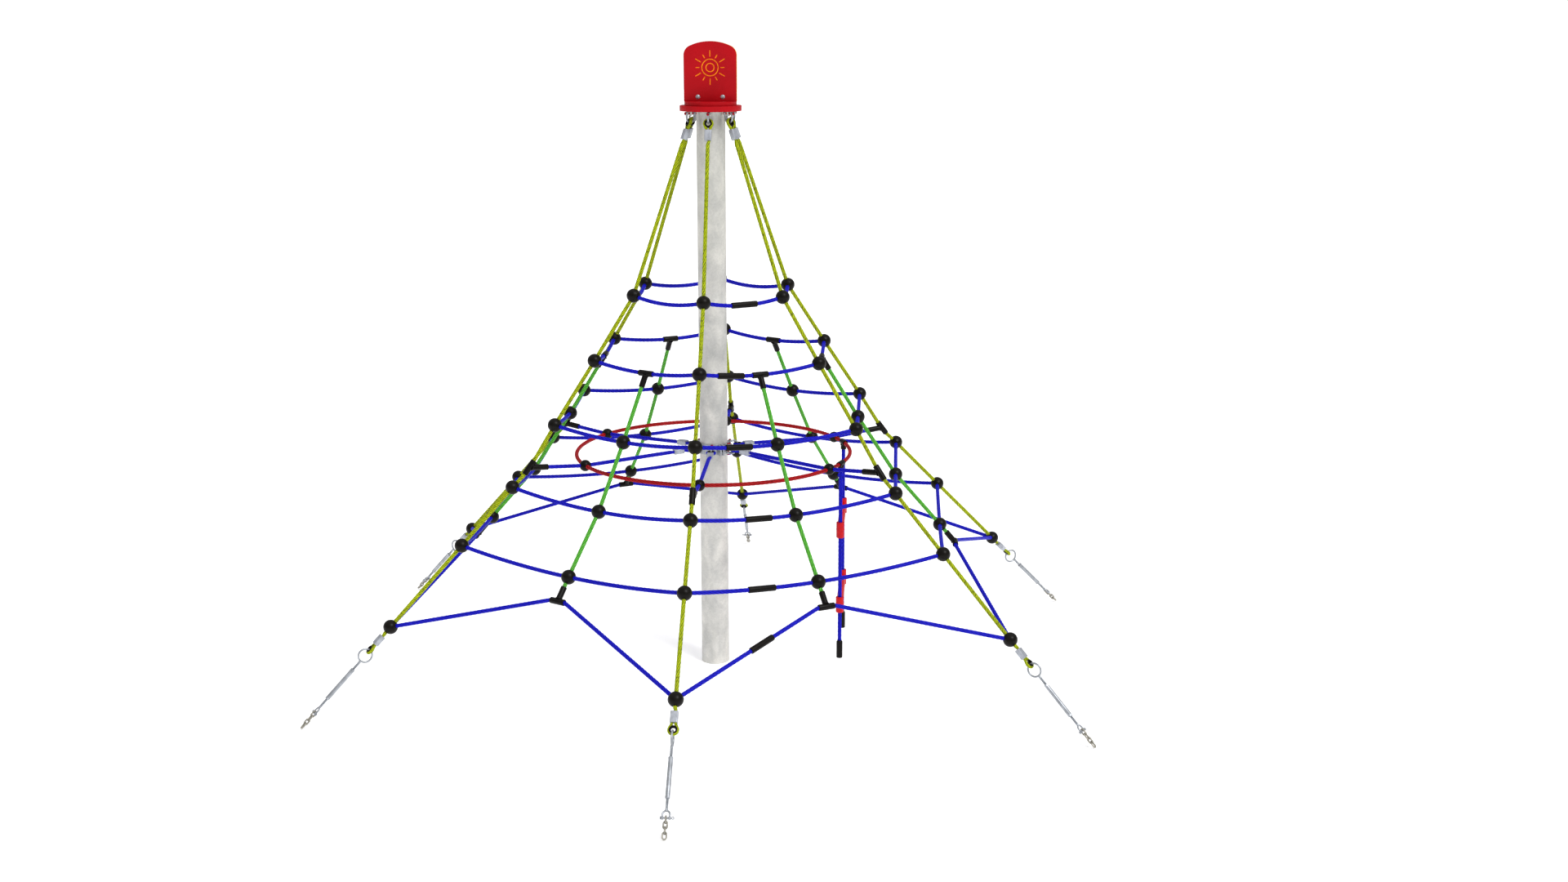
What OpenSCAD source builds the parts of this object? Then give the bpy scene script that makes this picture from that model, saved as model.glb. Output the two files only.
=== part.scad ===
// Rope net climber: a mast, a six-sided rope net round it, and six anchor lines.
// Origin at the centre of the mast's foot, +Z up, the crown panel faces -Y.

/* [Mast] */
// Outer diameter of the mast tube
mast_d = 114.3; // [108:0.1:116]
// Wall thickness of the mast tube
mast_wall = 4; // [3:0.5:6]
// Height of the mast tube
mast_h = 2284; // [2280:1:2284]

/* [Crown] */
// Diameter of the large cap disc
cap_d = 244; // [240:1:260]
// Diameter of the step disc on top of it
step_d = 206; // [200:1:210]
// Width of the crown panel
panel_w = 208; // [190:1:210]
// Height of the crown panel
panel_h = 231; // [220:1:260]
// Thickness of the crown panel
panel_t = 19; // [15:1:22]

/* [Ropes] */
// Diameter of every net rope
rope_d = 16; // [15:0.5:16]
// Diameter of the ball connectors on the net
ball_d = 56; // [54:1:62]
// Diameter of the ball connectors on the hoop
hoop_ball_d = 46; // [45:1:50]
// Diameter of tees and splice sleeves
sleeve_d = 24; // [23:0.5:28]

/* [Hoop and ladder] */
// Radius of the hoop, to the middle of its rope
hoop_r = 560; // [550:1:570]
// Height of the hoop, to the middle of its rope
hoop_z = 907; // [900:1:910]
// Distance between the two ladder ropes
ladder_w = 374; // [340:2:400]
// Height of the upper rung
rung_z = 633; // [600:1:660]
// Distance from one rung to the next
rung_pitch = 315; // [280:1:330]

/* [Anchor lines] */
// Length of the turnbuckle sleeve
turnbuckle_l = 148; // [146:1:148]
// Diameter of the anchor chain's wire
chain_wire = 6; // [5:0.5:6]

/* [Hidden] */
$fn = 64;

mast_foot_t = 8;

// Net: the radius and height of the ball connectors down one main rope, and each ring's sag
sides = 6;
turn = 360 / sides;
ball_r = [340, 510, 682, 863, 1076, 1370];
ball_z = [1573, 1326, 1084, 853, 644, 357];
ring_sag = [21, 23, 25, 33, 34];
ring_splice = [0.51, 0.257, 0.264, 0.32, 0.285];
hem_tee_at = [997, 533];
hem_splice = 0.59;
spoke_tee_at = [792, 925];

// Ropes inside a ball connector squeeze thin and pass each other
rope_r = rope_d / 2;
rope_sides = 8;
pinch_r = 0.7 * rope_r;
pinch_off = pinch_r + 0.3;
pinch_l = 8;
bore_r = rope_r + 0.2;
straight_bore_r = rope_r + 0.5;
bent_bore_r = rope_r + 0.35;
cavity_r = 18.5;
cavity_reach = 17;
// The lowest balls, where the hem rope turns sharply
low_cavity_r = 22.5;
low_reach = 21;

// Tees and sleeves
bar_gap = 1;
sleeve_r = sleeve_d / 2;
stem_r = sleeve_r - 0.4;
splice_l = 110;
tee_bar_l = 66;
stem_start = 11;
infill_stem_l = 58;
hem_stem_l = 60;
spoke_stem_l = 77;
// The spoke's stem leans, so its rope starts further from the bar
spoke_stem_start = 16;

// Thimble eye at a rope's end
loop_r = 15.6;
loop_rope_r = 6;
loop_steps = 10;
eye_hole_r = 7.7;
thimble_r = 15;
thimble_w = 15;
ferrule_start = 26;
ferrule_l = 42;
ferrule_gap = 5.4;
ferrule_rope_r = 5.2;
ferrule_w = 27;
ferrule_t = 20;
eye_l = ferrule_start + ferrule_l;

// Shackles: the pin lies along X, and the bow hangs towards -Z
bow_r = 16;
bow_wire_r = 4;
bow_drop = 18;
bow_play = 0.3;
ear_r = 7;
ear_t = 9;
shackle_pin_r = 4;
pin_head_r = 5.5;
pin_head_t = 4;
lug_t = 8;
lug_r = 9.5;
lug_hole_r = shackle_pin_r + 0.3;
seat = bow_r + eye_hole_r - bow_wire_r - bow_play;

// Head flange and crown
flange_d = 206;
flange_t = 8;
cap_t = 21;
step_t = 15.5;
cap_top = mast_h + cap_t;
step_top = cap_top + step_t;
head_lug = [87, 2275];
panel_side_h = panel_h - 54;
shoulder_r = 40;
groove_w = 3.6;
groove_depth = 3;
sun_z = 130;
bolt_x = 49;
bolt_z = 17;
bolt_r = 4;
bolt_hole_r = bolt_r + 0.2;
bolt_head_r = 9;
bolt_head_rise = 3;
screw_r = bolt_r - 0.2;
hex_r = 7.5;
hex_nut_h = 6.5;
hex_head_h = 5.3;
rim_chamfer = 1.5;
bracket_w = 36;
bracket_l = 44;
bracket_foot_l = 52;
bracket_t = 4;
screw_y = 44;

// Mast collar
collar_z = 925;
collar_h = 43;
collar_t = 6;
collar_lug_r = 73;
collar_gap = 6;
ear_l = 26;
collar_bolt_out = 13;
collar_bolt_z = 10;

// Ladder: the ropes pivot at the mouths of the two tees on the hoop
ladder_x = sqrt(pow(hoop_r, 2) - pow(ladder_w / 2, 2));
ladder_turn = asin(ladder_w / 2 / hoop_r);
ladder_tee_l = 48;
ladder_stem_l = 30;
ladder_top = hoop_z - ladder_stem_l;
ladder_end = 102;
ladder_rope_z = [ladder_top, for (z = [840 : -40 : 160]) z, 130, ladder_end];
ladder_play = 0.1;
rung_sleeve_r = 16;
rung_sleeve_l = 65;
rung_bar_r = 14;
cap_l = 76;
cap_bottom = 90;

// Anchor line: distances along it from the lowest ball connector
anchor_dip = 44.08;
eye_at = 144;
eye_ring_r = 26.5;
eye_wire_r = 3.75;
rod_r = 5;
sleeve_at = 212;
turnbuckle_r = 8.2;
nut_r = 9.3;
nut_l = 9;
thread_in = 50;
crown_at = 403;
pin_at = 428;
fork_r = 12.7;
fork_wire_r = 3.3;
fork_pin_r = 3.2;
fork_pin_half = 17.5;
pin_flat_t = 3;
fork_ear_r = 6;
fork_ear_t = 7.8;
tab_l = 11;
tab_t = 4;
tab_hole_r = 2.5;
link_l = 31;
link_w = 19;
links = 4;
link_play = 0.3;
pin_play = 0.2;

// ---- Functions ----

function unit(v) = v / norm(v);
function at(az, r, z) = [r * sin(az), -r * cos(az), z];
function mix(a, b, s) = a + (b - a) * s;
function path_point(p, r) = [p.x, p.y, p.z, r];
function place(p) = [p.x, p.y, p.z];

// Ball connector k (0 at the top) on the main rope at an azimuth
function ball_at(k, az) = at(az, ball_r[k], ball_z[k]);

// A point on ring rope k, a share s of the way along the side that starts at an azimuth
function ring_at(k, az, s) =
    mix(ball_at(k, az), ball_at(k, az + turn), s) - [0, 0, 4 * ring_sag[k] * s * (1 - s)];

// Rope head and foot: where the main rope's line meets its shackle and its anchor eye
head_bow = at(0, head_lug.x, head_lug.y - bow_drop);
head_dir = unit(ball_at(0, 0) - head_bow);
head_eye = head_bow + seat * head_dir;
foot_dir = at(0, cos(anchor_dip), -sin(anchor_dip));
foot_eye_at = eye_at - eye_ring_r - (eye_hole_r - eye_wire_r - bow_play);
foot_eye = ball_at(5, 0) + foot_eye_at * foot_dir;

// The outward normal of the net at ball k of the front main rope
function main_stop(k) = k < 0 ? head_eye : k > 5 ? foot_eye : ball_at(k, 0);
function main_normal(k) = unit(cross(main_stop(k + 1) - main_stop(k - 1), [1, 0, 0]));

// Infill rope at azimuth 30: its tee, its balls and its hem tee, and the normals there
half = turn / 2;
function infill_stop(k) = k > 4 ? at(half, hem_tee_at.x, hem_tee_at.y) : ring_at(k, 0, 0.5);
function infill_normal(k) =
    unit(cross(infill_stop(k + 1) - infill_stop(k - 1), [cos(half), sin(half), 0]));

function spin(v, az) = [v.x * cos(az) - v.y * sin(az), v.x * sin(az) + v.y * cos(az), v.z];

// Two ropes cross inside a ball: this one bends aside by off and thins
function crossing(before, p, after, off, reach = cavity_reach, pinch = pinch_l) =
    let (
        come = unit(p - before),
        leave = unit(after - p),
        bent = norm(come - leave) > 0.3
    ) concat(
        [path_point(p - reach * come, rope_r), path_point(p + off - pinch * come, pinch_r)],
        bent ? [path_point(p + off, pinch_r)] : [],
        [path_point(p + off + pinch * leave, pinch_r), path_point(p + reach * leave, rope_r)]
    );

// A thimble eye as a path: across its loop, away along the rope, and the eye's centre
eye_wrap = asin(loop_r / norm([ferrule_gap, ferrule_start])) + atan2(ferrule_start, ferrule_gap);
function eye_path(centre, across, along) = [
    path_point(centre - ferrule_gap * across + (eye_l - 4) * along, ferrule_rope_r),
    path_point(centre - ferrule_gap * across + (ferrule_start - 1.5) * along, ferrule_rope_r),
    for (i = [0 : loop_steps])
        let (a = eye_wrap * (2 * i / loop_steps - 1))
            path_point(centre + loop_r * (sin(a) * across - cos(a) * along), loop_rope_r),
    path_point(centre + ferrule_gap * across + (ferrule_start - 1.5) * along, ferrule_rope_r),
    path_point(centre + ferrule_gap * across + (eye_l + 1.5) * along, ferrule_rope_r),
    path_point(centre + (eye_l + 12) * along, rope_r)
];
function reversed(list) = [for (i = [len(list) - 1 : -1 : 0]) list[i]];

// The main rope at azimuth 0, from its head eye to its foot eye
main_slope = unit(ball_at(3, 0) - ball_at(2, 0));
spoke_tee = at(0, spoke_tee_at.x, spoke_tee_at.y);
function main_before(k) = k == 3 ? spoke_tee + tee_bar_l / 2 * main_slope : main_stop(k - 1);
function main_after(k) = k == 2 ? spoke_tee - tee_bar_l / 2 * main_slope : main_stop(k + 1);
function main_crossing(k) = crossing(main_before(k), ball_at(k, 0), main_after(k),
    pinch_off * main_normal(k), k == 5 ? low_reach : cavity_reach);
main_path = concat(
    eye_path(head_eye, [1, 0, 0], head_dir),
    [for (k = [0 : 2]) each main_crossing(k)],
    [path_point(spoke_tee - (tee_bar_l / 2 + bar_gap) * main_slope, rope_r)],
    [path_point(spoke_tee + (tee_bar_l / 2 + bar_gap) * main_slope, rope_r)],
    [for (k = [3 : 5]) each main_crossing(k)],
    reversed(eye_path(foot_eye, [1, 0, 0], -foot_dir))
);

// The infill rope in the face at azimuth 30
infill_in = unit(infill_stop(2) - infill_stop(1));
infill_out = unit(infill_stop(5) - infill_stop(4));
infill_path = concat(
    [path_point(infill_stop(1) + stem_start * infill_in, rope_r)],
    [for (k = [2 : 4])
        each crossing(infill_stop(k - 1), infill_stop(k), infill_stop(k + 1),
            pinch_off * infill_normal(k))],
    [path_point(infill_stop(5) - stem_start * infill_out, rope_r)]
);

// Where a ring rope has points between two main ropes, as shares of the side
function side_l(k) = norm(ball_at(k, turn) - ball_at(k, 0));
function splice_at(k, end) = ring_splice[k] + end * (splice_l / 2 + bar_gap) / side_l(k);
function bar_at(k, end) = 0.5 + end * tee_bar_l / 2 / side_l(k);
function side_shares(k) = k == 0 ? [1/6, 1/3, 1/2, 2/3, 5/6] : [1/6, 1/3, 2/3, 5/6];

function ring_middle(k, az) =
    k == 0 ? []
    : k == 1 ? [path_point(ring_at(k, az, bar_at(k, -1)), rope_r),
        path_point(ring_at(k, az, bar_at(k, 1)), rope_r)]
    : crossing(ring_at(k, az, 1/3), ring_at(k, az, 0.5), ring_at(k, az, 2/3),
        -pinch_off * spin(infill_normal(k), az));

// The points of one side with shares from low to high
function shares_between(k, low, high) = [for (s = side_shares(k)) if (s > low && s < high) s];
function ring_side(k, az, low, high) = concat(
    [for (s = shares_between(k, low, min(high, 0.49))) path_point(ring_at(k, az, s), rope_r)],
    low < 0.5 && high > 0.5 ? ring_middle(k, az) : [],
    [for (s = shares_between(k, max(low, 0.49), high)) path_point(ring_at(k, az, s), rope_r)]
);

function ring_corner(k, az) = crossing(ring_at(k, az - turn, 5/6), ball_at(k, az), ring_at(k, az, 1/6),
    -pinch_off * spin(main_normal(k), az));

// Every closed rope's two ends meet in its splice, this far apart
splice_gap = 0.6;
function ring_path(k) =
    let (
        start = ring_at(k, 0, splice_at(k, -1)),
        end = ring_at(k, 0, splice_at(k, 1)),
        join = mix(start, end, 0.5),
        half_gap = splice_gap / 2 * unit(end - start)
    ) concat(
        [path_point(join + half_gap, rope_r), path_point(end, rope_r)],
        ring_side(k, 0, splice_at(k, 1) + 0.02, 1),
        [for (j = [1 : sides - 1]) each concat(ring_corner(k, j * turn), ring_side(k, j * turn, 0, 1))],
        ring_corner(k, 0),
        ring_side(k, 0, 0, splice_at(k, -1) - 0.02),
        [path_point(start, rope_r), path_point(join - half_gap, rope_r)]
    );

// The hem rope zigzags between the lowest balls and the hem tees
function hem_tee(az, end) = at(az + half, hem_tee_at.x, hem_tee_at.y)
    + end * (tee_bar_l / 2 + bar_gap) * [cos(az + half), sin(az + half), 0];
hem_line = hem_tee(0, -1) - ball_at(5, 0);
hem_splice_from = ball_at(5, 0) + (hem_splice * norm(hem_line) - splice_l / 2) * unit(hem_line);
hem_splice_to = hem_splice_from + splice_l * unit(hem_line);
function hem_bar(az) = [path_point(hem_tee(az, -1), rope_r), path_point(hem_tee(az, 1), rope_r)];
function hem_corner(az) = crossing(hem_tee(az - turn, 1), ball_at(5, az), hem_tee(az, -1),
    -pinch_off * spin(main_normal(5), az), low_reach);
hem_path = let (join = mix(hem_splice_from, hem_splice_to, 0.5)) concat(
    [path_point(join + splice_gap / 2 * unit(hem_line), rope_r)],
    hem_bar(0),
    [for (j = [1 : sides - 1]) each concat(hem_corner(j * turn), hem_bar(j * turn))],
    hem_corner(0),
    [path_point(join - splice_gap / 2 * unit(hem_line), rope_r)]
);

// The hoop rope runs below the spokes inside the hoop balls, and straight through the ladder's tees
hoop_cavity_r = 16;
hoop_reach = 14;
hoop_pinch = 6.5;
hoop_step = 9;
hoop_margin = 3;
hoop_tee_margin = 3.4;
hoop_splice_turn = 0.04;
hoop_start = turn / 2 + 3;
hoop_ball = at(0, hoop_r, hoop_z);
function hoop_point(az) = at(az, hoop_r, hoop_z);
function hoop_arc(from, to) = let (count = ceil((to - from) / hoop_step))
    [for (i = [0 : count]) path_point(hoop_point(from + (to - from) * i / count), rope_r)];
function hoop_crossing(az) = crossing(hoop_point(az - hoop_margin), hoop_point(az),
    hoop_point(az + hoop_margin), [0, 0, -pinch_off], hoop_reach, hoop_pinch);
function hoop_tee(az) = [for (end = [-1, 1])
    path_point(hoop_point(az) + end * (ladder_tee_l / 2 + bar_gap) * [cos(az), sin(az), 0], rope_r)];
hoop_ladder_side = concat(
    hoop_arc(turn + hoop_margin, 90 - ladder_turn - hoop_tee_margin),
    hoop_tee(90 - ladder_turn),
    hoop_arc(90 - ladder_turn + hoop_tee_margin, 90 + ladder_turn - hoop_tee_margin),
    hoop_tee(90 + ladder_turn),
    hoop_arc(90 + ladder_turn + hoop_tee_margin, 2 * turn - hoop_margin)
);
hoop_path = concat(
    hoop_arc(hoop_start + hoop_splice_turn, turn - hoop_margin),
    hoop_crossing(turn),
    hoop_ladder_side,
    [for (j = [2 : sides - 1]) each concat(hoop_crossing(j * turn),
        hoop_arc(j * turn + hoop_margin, (j + 1) * turn - hoop_margin))],
    hoop_crossing(0),
    hoop_arc(hoop_margin, hoop_start - hoop_splice_turn)
);

// The spoke rope at azimuth 0, from its eye at the collar to its tee on the main rope
spoke_bow = at(0, collar_lug_r + bow_drop, collar_z);
spoke_dir = unit(hoop_ball - spoke_bow);
spoke_eye = spoke_bow + seat * spoke_dir;
stem_dir = unit(hoop_ball - spoke_tee);
spoke_path = concat(
    eye_path(spoke_eye, [1, 0, 0], spoke_dir),
    crossing(spoke_eye, hoop_ball, spoke_tee, [0, 0, pinch_off], hoop_reach, hoop_pinch),
    [path_point(spoke_tee + spoke_stem_start * stem_dir, rope_r)]
);

// ---- Shapes ----

// Frames along a path: each ring of the sweep lies in the plane that halves the bend
function square_to(v, t) = unit(v - (v * t) * t);
function tangent(path, i) =
    let (
        p = place(path[i]),
        before = i == 0 ? p : place(path[i - 1]),
        after = i == len(path) - 1 ? p : place(path[i + 1])
    )
    i == 0 ? unit(after - p) : i == len(path) - 1 ? unit(p - before)
    : unit(unit(p - before) + unit(after - p));
function bend(path, i) =
    i == 0 || i == len(path) - 1 ? [0, 0, 0]
    : unit(place(path[i + 1]) - place(path[i])) - unit(place(path[i]) - place(path[i - 1]));
function normals(path, first) = [
    for (i = 0, n = square_to(first, tangent(path, 0));
        i < len(path);
        i = i + 1, n = i < len(path) ? square_to(n, tangent(path, i)) : n) n
];
function stretched(v, e) =
    norm(e) < 0.001 ? v : let (u = unit(e), k = 1 / sqrt(1 - e * e / 4)) v + (k - 1) * (v * u) * u;

module sweep(path, first) {
    n = normals(path, first);
    count = len(path);
    points = [for (i = [0 : count - 1]) let (t = tangent(path, i), b = cross(t, n[i]), e = bend(path, i))
        for (j = [0 : rope_sides - 1])
            let (a = 360 * j / rope_sides, v = path[i][3] * (cos(a) * n[i] + sin(a) * b))
                place(path[i]) + stretched(v, e)];
    walls = [for (i = [0 : count - 2], j = [0 : rope_sides - 1])
        let (next = (j + 1) % rope_sides, low = i * rope_sides, high = low + rope_sides)
            [low + j, high + j, high + next, low + next]];
    start_cap = [for (j = [0 : rope_sides - 1]) j];
    end_cap = [for (j = [rope_sides - 1 : -1 : 0]) (count - 1) * rope_sides + j];
    polyhedron(points, concat([start_cap], walls, [end_cap]), convexity = 10);
}

// Puts its children's +Z along the line from a to b, starting at a
module along(a, b) {
    v = b - a;
    translate(a) rotate([0, acos(v.z / norm(v)), atan2(v.y, v.x)]) children();
}

module rod(a, b, r) {
    along(a, b) cylinder(h = norm(b - a), r = r);
}

// A round along the X axis
module line_rod(from, to, r) {
    translate([from, 0, 0]) rotate([0, 90, 0]) cylinder(h = to - from, r = r);
}

// A bored sleeve with chamfered ends, along Z from 0
module sleeve(l, r, bore, chamfer = 3) {
    rotate_extrude() polygon([
        [bore, 0], [r - chamfer, 0], [r, chamfer], [r, l - chamfer], [r - chamfer, l], [bore, l]
    ]);
}

// Puts its children at every side, turned by whole sides
module each_side() {
    for (i = [0 : sides - 1]) rotate([0, 0, i * turn]) children();
}

// Radial frame: +X outwards at azimuth 0 of the model, +Y along the tangent
module radial() {
    rotate([0, 0, -90]) children();
}

module head_station() {
    radial() translate([head_lug.x, 0, head_lug.y]) children();
}

module spoke_station() {
    radial() translate([collar_lug_r, 0, collar_z]) rotate([0, -90, 0]) children();
}

// A hollow ball at p, bored for ropes: each pair of points is where one rope comes from and goes to
module ball_with_bores(p, d, hole, pairs) {
    difference() {
        translate(p) sphere(d = d);
        translate(p) sphere(r = hole);
        for (pair = pairs) {
            come = unit(p - pair[0]);
            leave = unit(pair[1] - p);
            if (norm(come - leave) < 0.1) {
                middle = d * unit(come + leave);
                rod(p - middle, p + middle, straight_bore_r);
            } else {
                rod(p, p - d * come, bent_bore_r);
                rod(p, p + d * leave, bent_bore_r);
            }
        }
    }
}

// ---- Mast and crown ----

module mast() {
    color("Silver") difference() {
        cylinder(h = mast_h, d = mast_d, $fn = 96);
        translate([0, 0, mast_foot_t]) cylinder(h = mast_h, d = mast_d - 2 * mast_wall, $fn = 96);
    }
}

module head_flange() {
    color("Silver") {
        difference() {
            translate([0, 0, mast_h]) cylinder(h = flange_t, d = flange_d, $fn = 96);
            for (x = [-bolt_x, bolt_x])
                translate([x, screw_y, mast_h - 1]) cylinder(h = flange_t + 2, r = screw_r);
        }
        each_side() head_station() difference() {
            union() {
                rotate([0, 90, 0]) translate([0, 0, -lug_t / 2]) cylinder(h = lug_t, r = lug_r);
                translate([-lug_t / 2, -lug_r, 0]) cube([lug_t, 2 * lug_r, mast_h - head_lug.y]);
            }
            rotate([0, 90, 0]) translate([0, 0, -lug_t]) cylinder(h = 2 * lug_t, r = lug_hole_r);
        }
    }
}

module cap_disc() {
    c = rim_chamfer;
    recess_r = flange_d / 2 + 0.3;
    color("Red") difference() {
        translate([0, 0, mast_h]) rotate_extrude($fn = 128) polygon([
            [recess_r, 0], [cap_d / 2 - c, 0], [cap_d / 2, c], [cap_d / 2, cap_t - c],
            [cap_d / 2 - c, cap_t], [0, cap_t], [0, flange_t], [recess_r, flange_t]
        ]);
        for (x = [-bolt_x, bolt_x])
            translate([x, screw_y, mast_h]) cylinder(h = 2 * cap_t, r = bolt_hole_r);
    }
}

module cap_step_disc() {
    c = rim_chamfer;
    color("Red") difference() {
        translate([0, 0, cap_top]) rotate_extrude($fn = 128) polygon([
            [0, 0], [step_d / 2, 0], [step_d / 2, step_t - c], [step_d / 2 - c, step_t], [0, step_t]
        ]);
        for (x = [-bolt_x, bolt_x])
            translate([x, screw_y, cap_top - 1]) cylinder(h = step_t + 2, r = bolt_hole_r);
    }
}

// Half of the panel's outline: a straight side, a shoulder arc and a wide crown arc
inset = panel_w / 2 - shoulder_r;
rise = panel_h - panel_side_h;
crown_r = (pow(rise, 2) + pow(inset, 2) - pow(shoulder_r, 2)) / (2 * (rise - shoulder_r));
crown_turn = asin(inset / (crown_r - shoulder_r));
function half_outline() = concat(
    [for (i = [0 : 6]) let (a = crown_turn * i / 6)
        [crown_r * sin(a), panel_h - crown_r + crown_r * cos(a)]],
    [for (i = [1 : 8]) let (a = crown_turn + (90 - crown_turn) * i / 8)
        [inset + shoulder_r * sin(a), panel_side_h + shoulder_r * cos(a)]],
    [[panel_w / 2, 0]]
);

// A plain sun: two circles, with long and short rays in turn
circle_rs = [16, 32];
rays = 12;
ray_start = 41;
ray_ls = [26, 16];
module sun_lines() {
    translate([0, sun_z]) {
        for (r = circle_rs) difference() {
            circle(r = r + groove_w / 2);
            circle(r = r - groove_w / 2);
        }
        for (i = [0 : rays - 1]) rotate(i * 360 / rays)
            translate([-groove_w / 2, ray_start]) square([groove_w, ray_ls[i % 2]]);
    }
}

module crown_panel() {
    right = half_outline();
    left = [for (i = [len(right) - 1 : -1 : 1]) [-right[i].x, right[i].y]];
    color("Red") translate([0, 0, step_top]) rotate([90, 0, 0]) difference() {
        translate([0, 0, -panel_t / 2]) linear_extrude(panel_t) polygon(concat(right, left));
        for (side = [0, 1]) mirror([0, 0, side])
            translate([0, 0, panel_t / 2 - groove_depth]) linear_extrude(panel_t) sun_lines();
        for (x = [-bolt_x, bolt_x])
            translate([x, bolt_z, 0]) cylinder(h = 2 * panel_t, r = bolt_hole_r, center = true);
    }
}

module crown_brackets() {
    color("Silver") for (x = [-bolt_x, bolt_x]) translate([x, panel_t / 2, step_top]) difference() {
        union() {
            translate([-bracket_w / 2, 0, 0]) cube([bracket_w, bracket_t, bracket_l]);
            translate([-bracket_w / 2, 0, 0]) cube([bracket_w, bracket_foot_l, bracket_t]);
        }
        translate([0, -1, bolt_z]) rotate([-90, 0, 0]) cylinder(h = bracket_t + 2, r = bolt_hole_r);
        translate([0, screw_y - panel_t / 2, -1]) cylinder(h = bracket_t + 2, r = bolt_hole_r);
    }
}

// A dome-headed bolt with its nut, along Z from the panel's front face
module crown_bolt() {
    grip = panel_t + bracket_t;
    cylinder(h = grip + 12, r = bolt_r);
    intersection() {
        translate([0, 0, bolt_head_rise]) sphere(r = norm([bolt_head_r, bolt_head_rise]));
        translate([0, 0, -2 * bolt_head_r]) cylinder(h = 2 * bolt_head_r, r = bolt_head_r);
    }
    translate([0, 0, grip]) cylinder(h = hex_nut_h, r = hex_r, $fn = 6);
}

module crown_bolts() {
    color("Silver") for (x = [-bolt_x, bolt_x])
        translate([x, -panel_t / 2, step_top + bolt_z]) rotate([-90, 0, 0]) crown_bolt();
}

module bracket_screws() {
    screw_l = bracket_t + step_t + cap_t;
    color("Silver") for (x = [-bolt_x, bolt_x]) translate([x, screw_y, step_top + bracket_t]) {
        translate([0, 0, -screw_l]) cylinder(h = screw_l, r = screw_r);
        cylinder(h = hex_head_h, r = hex_r, $fn = 6);
    }
}

// ---- Shackles, thimbles and ferrules ----

module bow() {
    difference() {
        union() {
            translate([0, 0, -bow_drop]) rotate([-90, 0, 0])
                rotate_extrude(angle = 180) translate([bow_r, 0]) circle(r = bow_wire_r, $fn = 32);
            for (x = [-bow_r, bow_r]) {
                translate([x, 0, -bow_drop]) cylinder(h = bow_drop, r = bow_wire_r, $fn = 32);
                line_rod(x - ear_t / 2, x + ear_t / 2, ear_r);
            }
        }
        line_rod(-2 * bow_r, 2 * bow_r, shackle_pin_r + 0.1);
    }
}

module bow_pin() {
    span = bow_r + ear_t / 2;
    line_rod(-span, span, shackle_pin_r);
    line_rod(-span - pin_head_t, -span, pin_head_r);
    line_rod(span, span + pin_head_t, pin_head_r);
}

module shackle_bows() {
    color("Silver") {
        each_side() head_station() bow();
        each_side() spoke_station() bow();
    }
}

module shackle_pins() {
    color("FireBrick") {
        each_side() head_station() bow_pin();
        each_side() spoke_station() bow_pin();
    }
}

// Grooved plastic eye round Z, with a flared hole
module thimble() {
    flare = 13.7;
    rotate_extrude() difference() {
        intersection() {
            translate([eye_hole_r, -thimble_w / 2]) square([thimble_r - eye_hole_r, thimble_w]);
            translate([eye_hole_r + flare, 0]) circle(r = flare);
        }
        translate([loop_r, 0]) circle(r = loop_rope_r + 0.4);
    }
}

// Oval pressed ferrule along Z, with one bore for each leg of the rope
module ferrule() {
    side = ferrule_w / 2 - ferrule_t / 2;
    translate([0, 0, ferrule_start]) difference() {
        union() {
            translate([-side, -ferrule_t / 2, 0]) cube([2 * side, ferrule_t, ferrule_l]);
            for (x = [-side, side]) translate([x, 0, 0]) cylinder(h = ferrule_l, d = ferrule_t);
        }
        for (x = [-ferrule_gap, ferrule_gap])
            translate([x, 0, -1]) cylinder(h = ferrule_l + 2, r = ferrule_rope_r + 0.1, $fn = 32);
    }
}

// Puts its children at the front rope's three eyes, with +Z away along the rope and X across
module eye_frame(centre, dir) {
    translate(centre) rotate([atan2(-dir.y, dir.z), 0, 0]) children();
}

module eyes() {
    each_side() {
        eye_frame(head_eye, head_dir) children();
        eye_frame(foot_eye, -foot_dir) children();
        eye_frame(spoke_eye, spoke_dir) children();
    }
}

module rope_thimbles() {
    color("DimGray") eyes() rotate([90, 0, 0]) thimble();
}

module rope_ferrules() {
    color("Silver") eyes() ferrule();
}

// ---- Net ----

module main_ropes() {
    color("YellowGreen") each_side() sweep(main_path, [1, 0, 0]);
}

module main_balls() {
    color("DimGray") each_side() for (k = [0 : 5]) {
        p = ball_at(k, 0);
        left = k < 5 ? ring_at(k, -turn, 5/6) : hem_tee(-turn, 1);
        right = k < 5 ? ring_at(k, 0, 1/6) : hem_tee(0, -1);
        ball_with_bores(p, ball_d, k < 5 ? cavity_r : low_cavity_r,
            [[main_before(k), main_after(k)], [left, right]]);
    }
}

module infill_ropes() {
    color("LimeGreen") each_side() sweep(infill_path, [cos(half), sin(half), 0]);
}

module infill_balls() {
    color("DimGray") each_side() for (k = [2 : 4]) {
        p = infill_stop(k);
        a = ring_at(k, 0, 1/3);
        b = ring_at(k, 0, 2/3);
        ball_with_bores(p, ball_d, cavity_r, [[infill_stop(k - 1), infill_stop(k + 1)], [a, b]]);
    }
}

// A tee: a bar between two points and a stem from its middle, all bored for ropes
module tee(a, b, stem, l, start = stem_start) {
    mid = mix(a, b, 0.5);
    difference() {
        union() {
            rod(a, b, sleeve_r);
            rod(mid, mid + l * stem, stem_r);
        }
        rod(mix(a, b, -0.1), mix(a, b, 1.1), bore_r);
        rod(mid + start * stem, mid + (l + 5) * stem, bore_r);
    }
}

module infill_tees() {
    color("DimGray") each_side()
        tee(ring_at(1, 0, bar_at(1, -1)), ring_at(1, 0, bar_at(1, 1)), infill_in, infill_stem_l);
}

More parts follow.
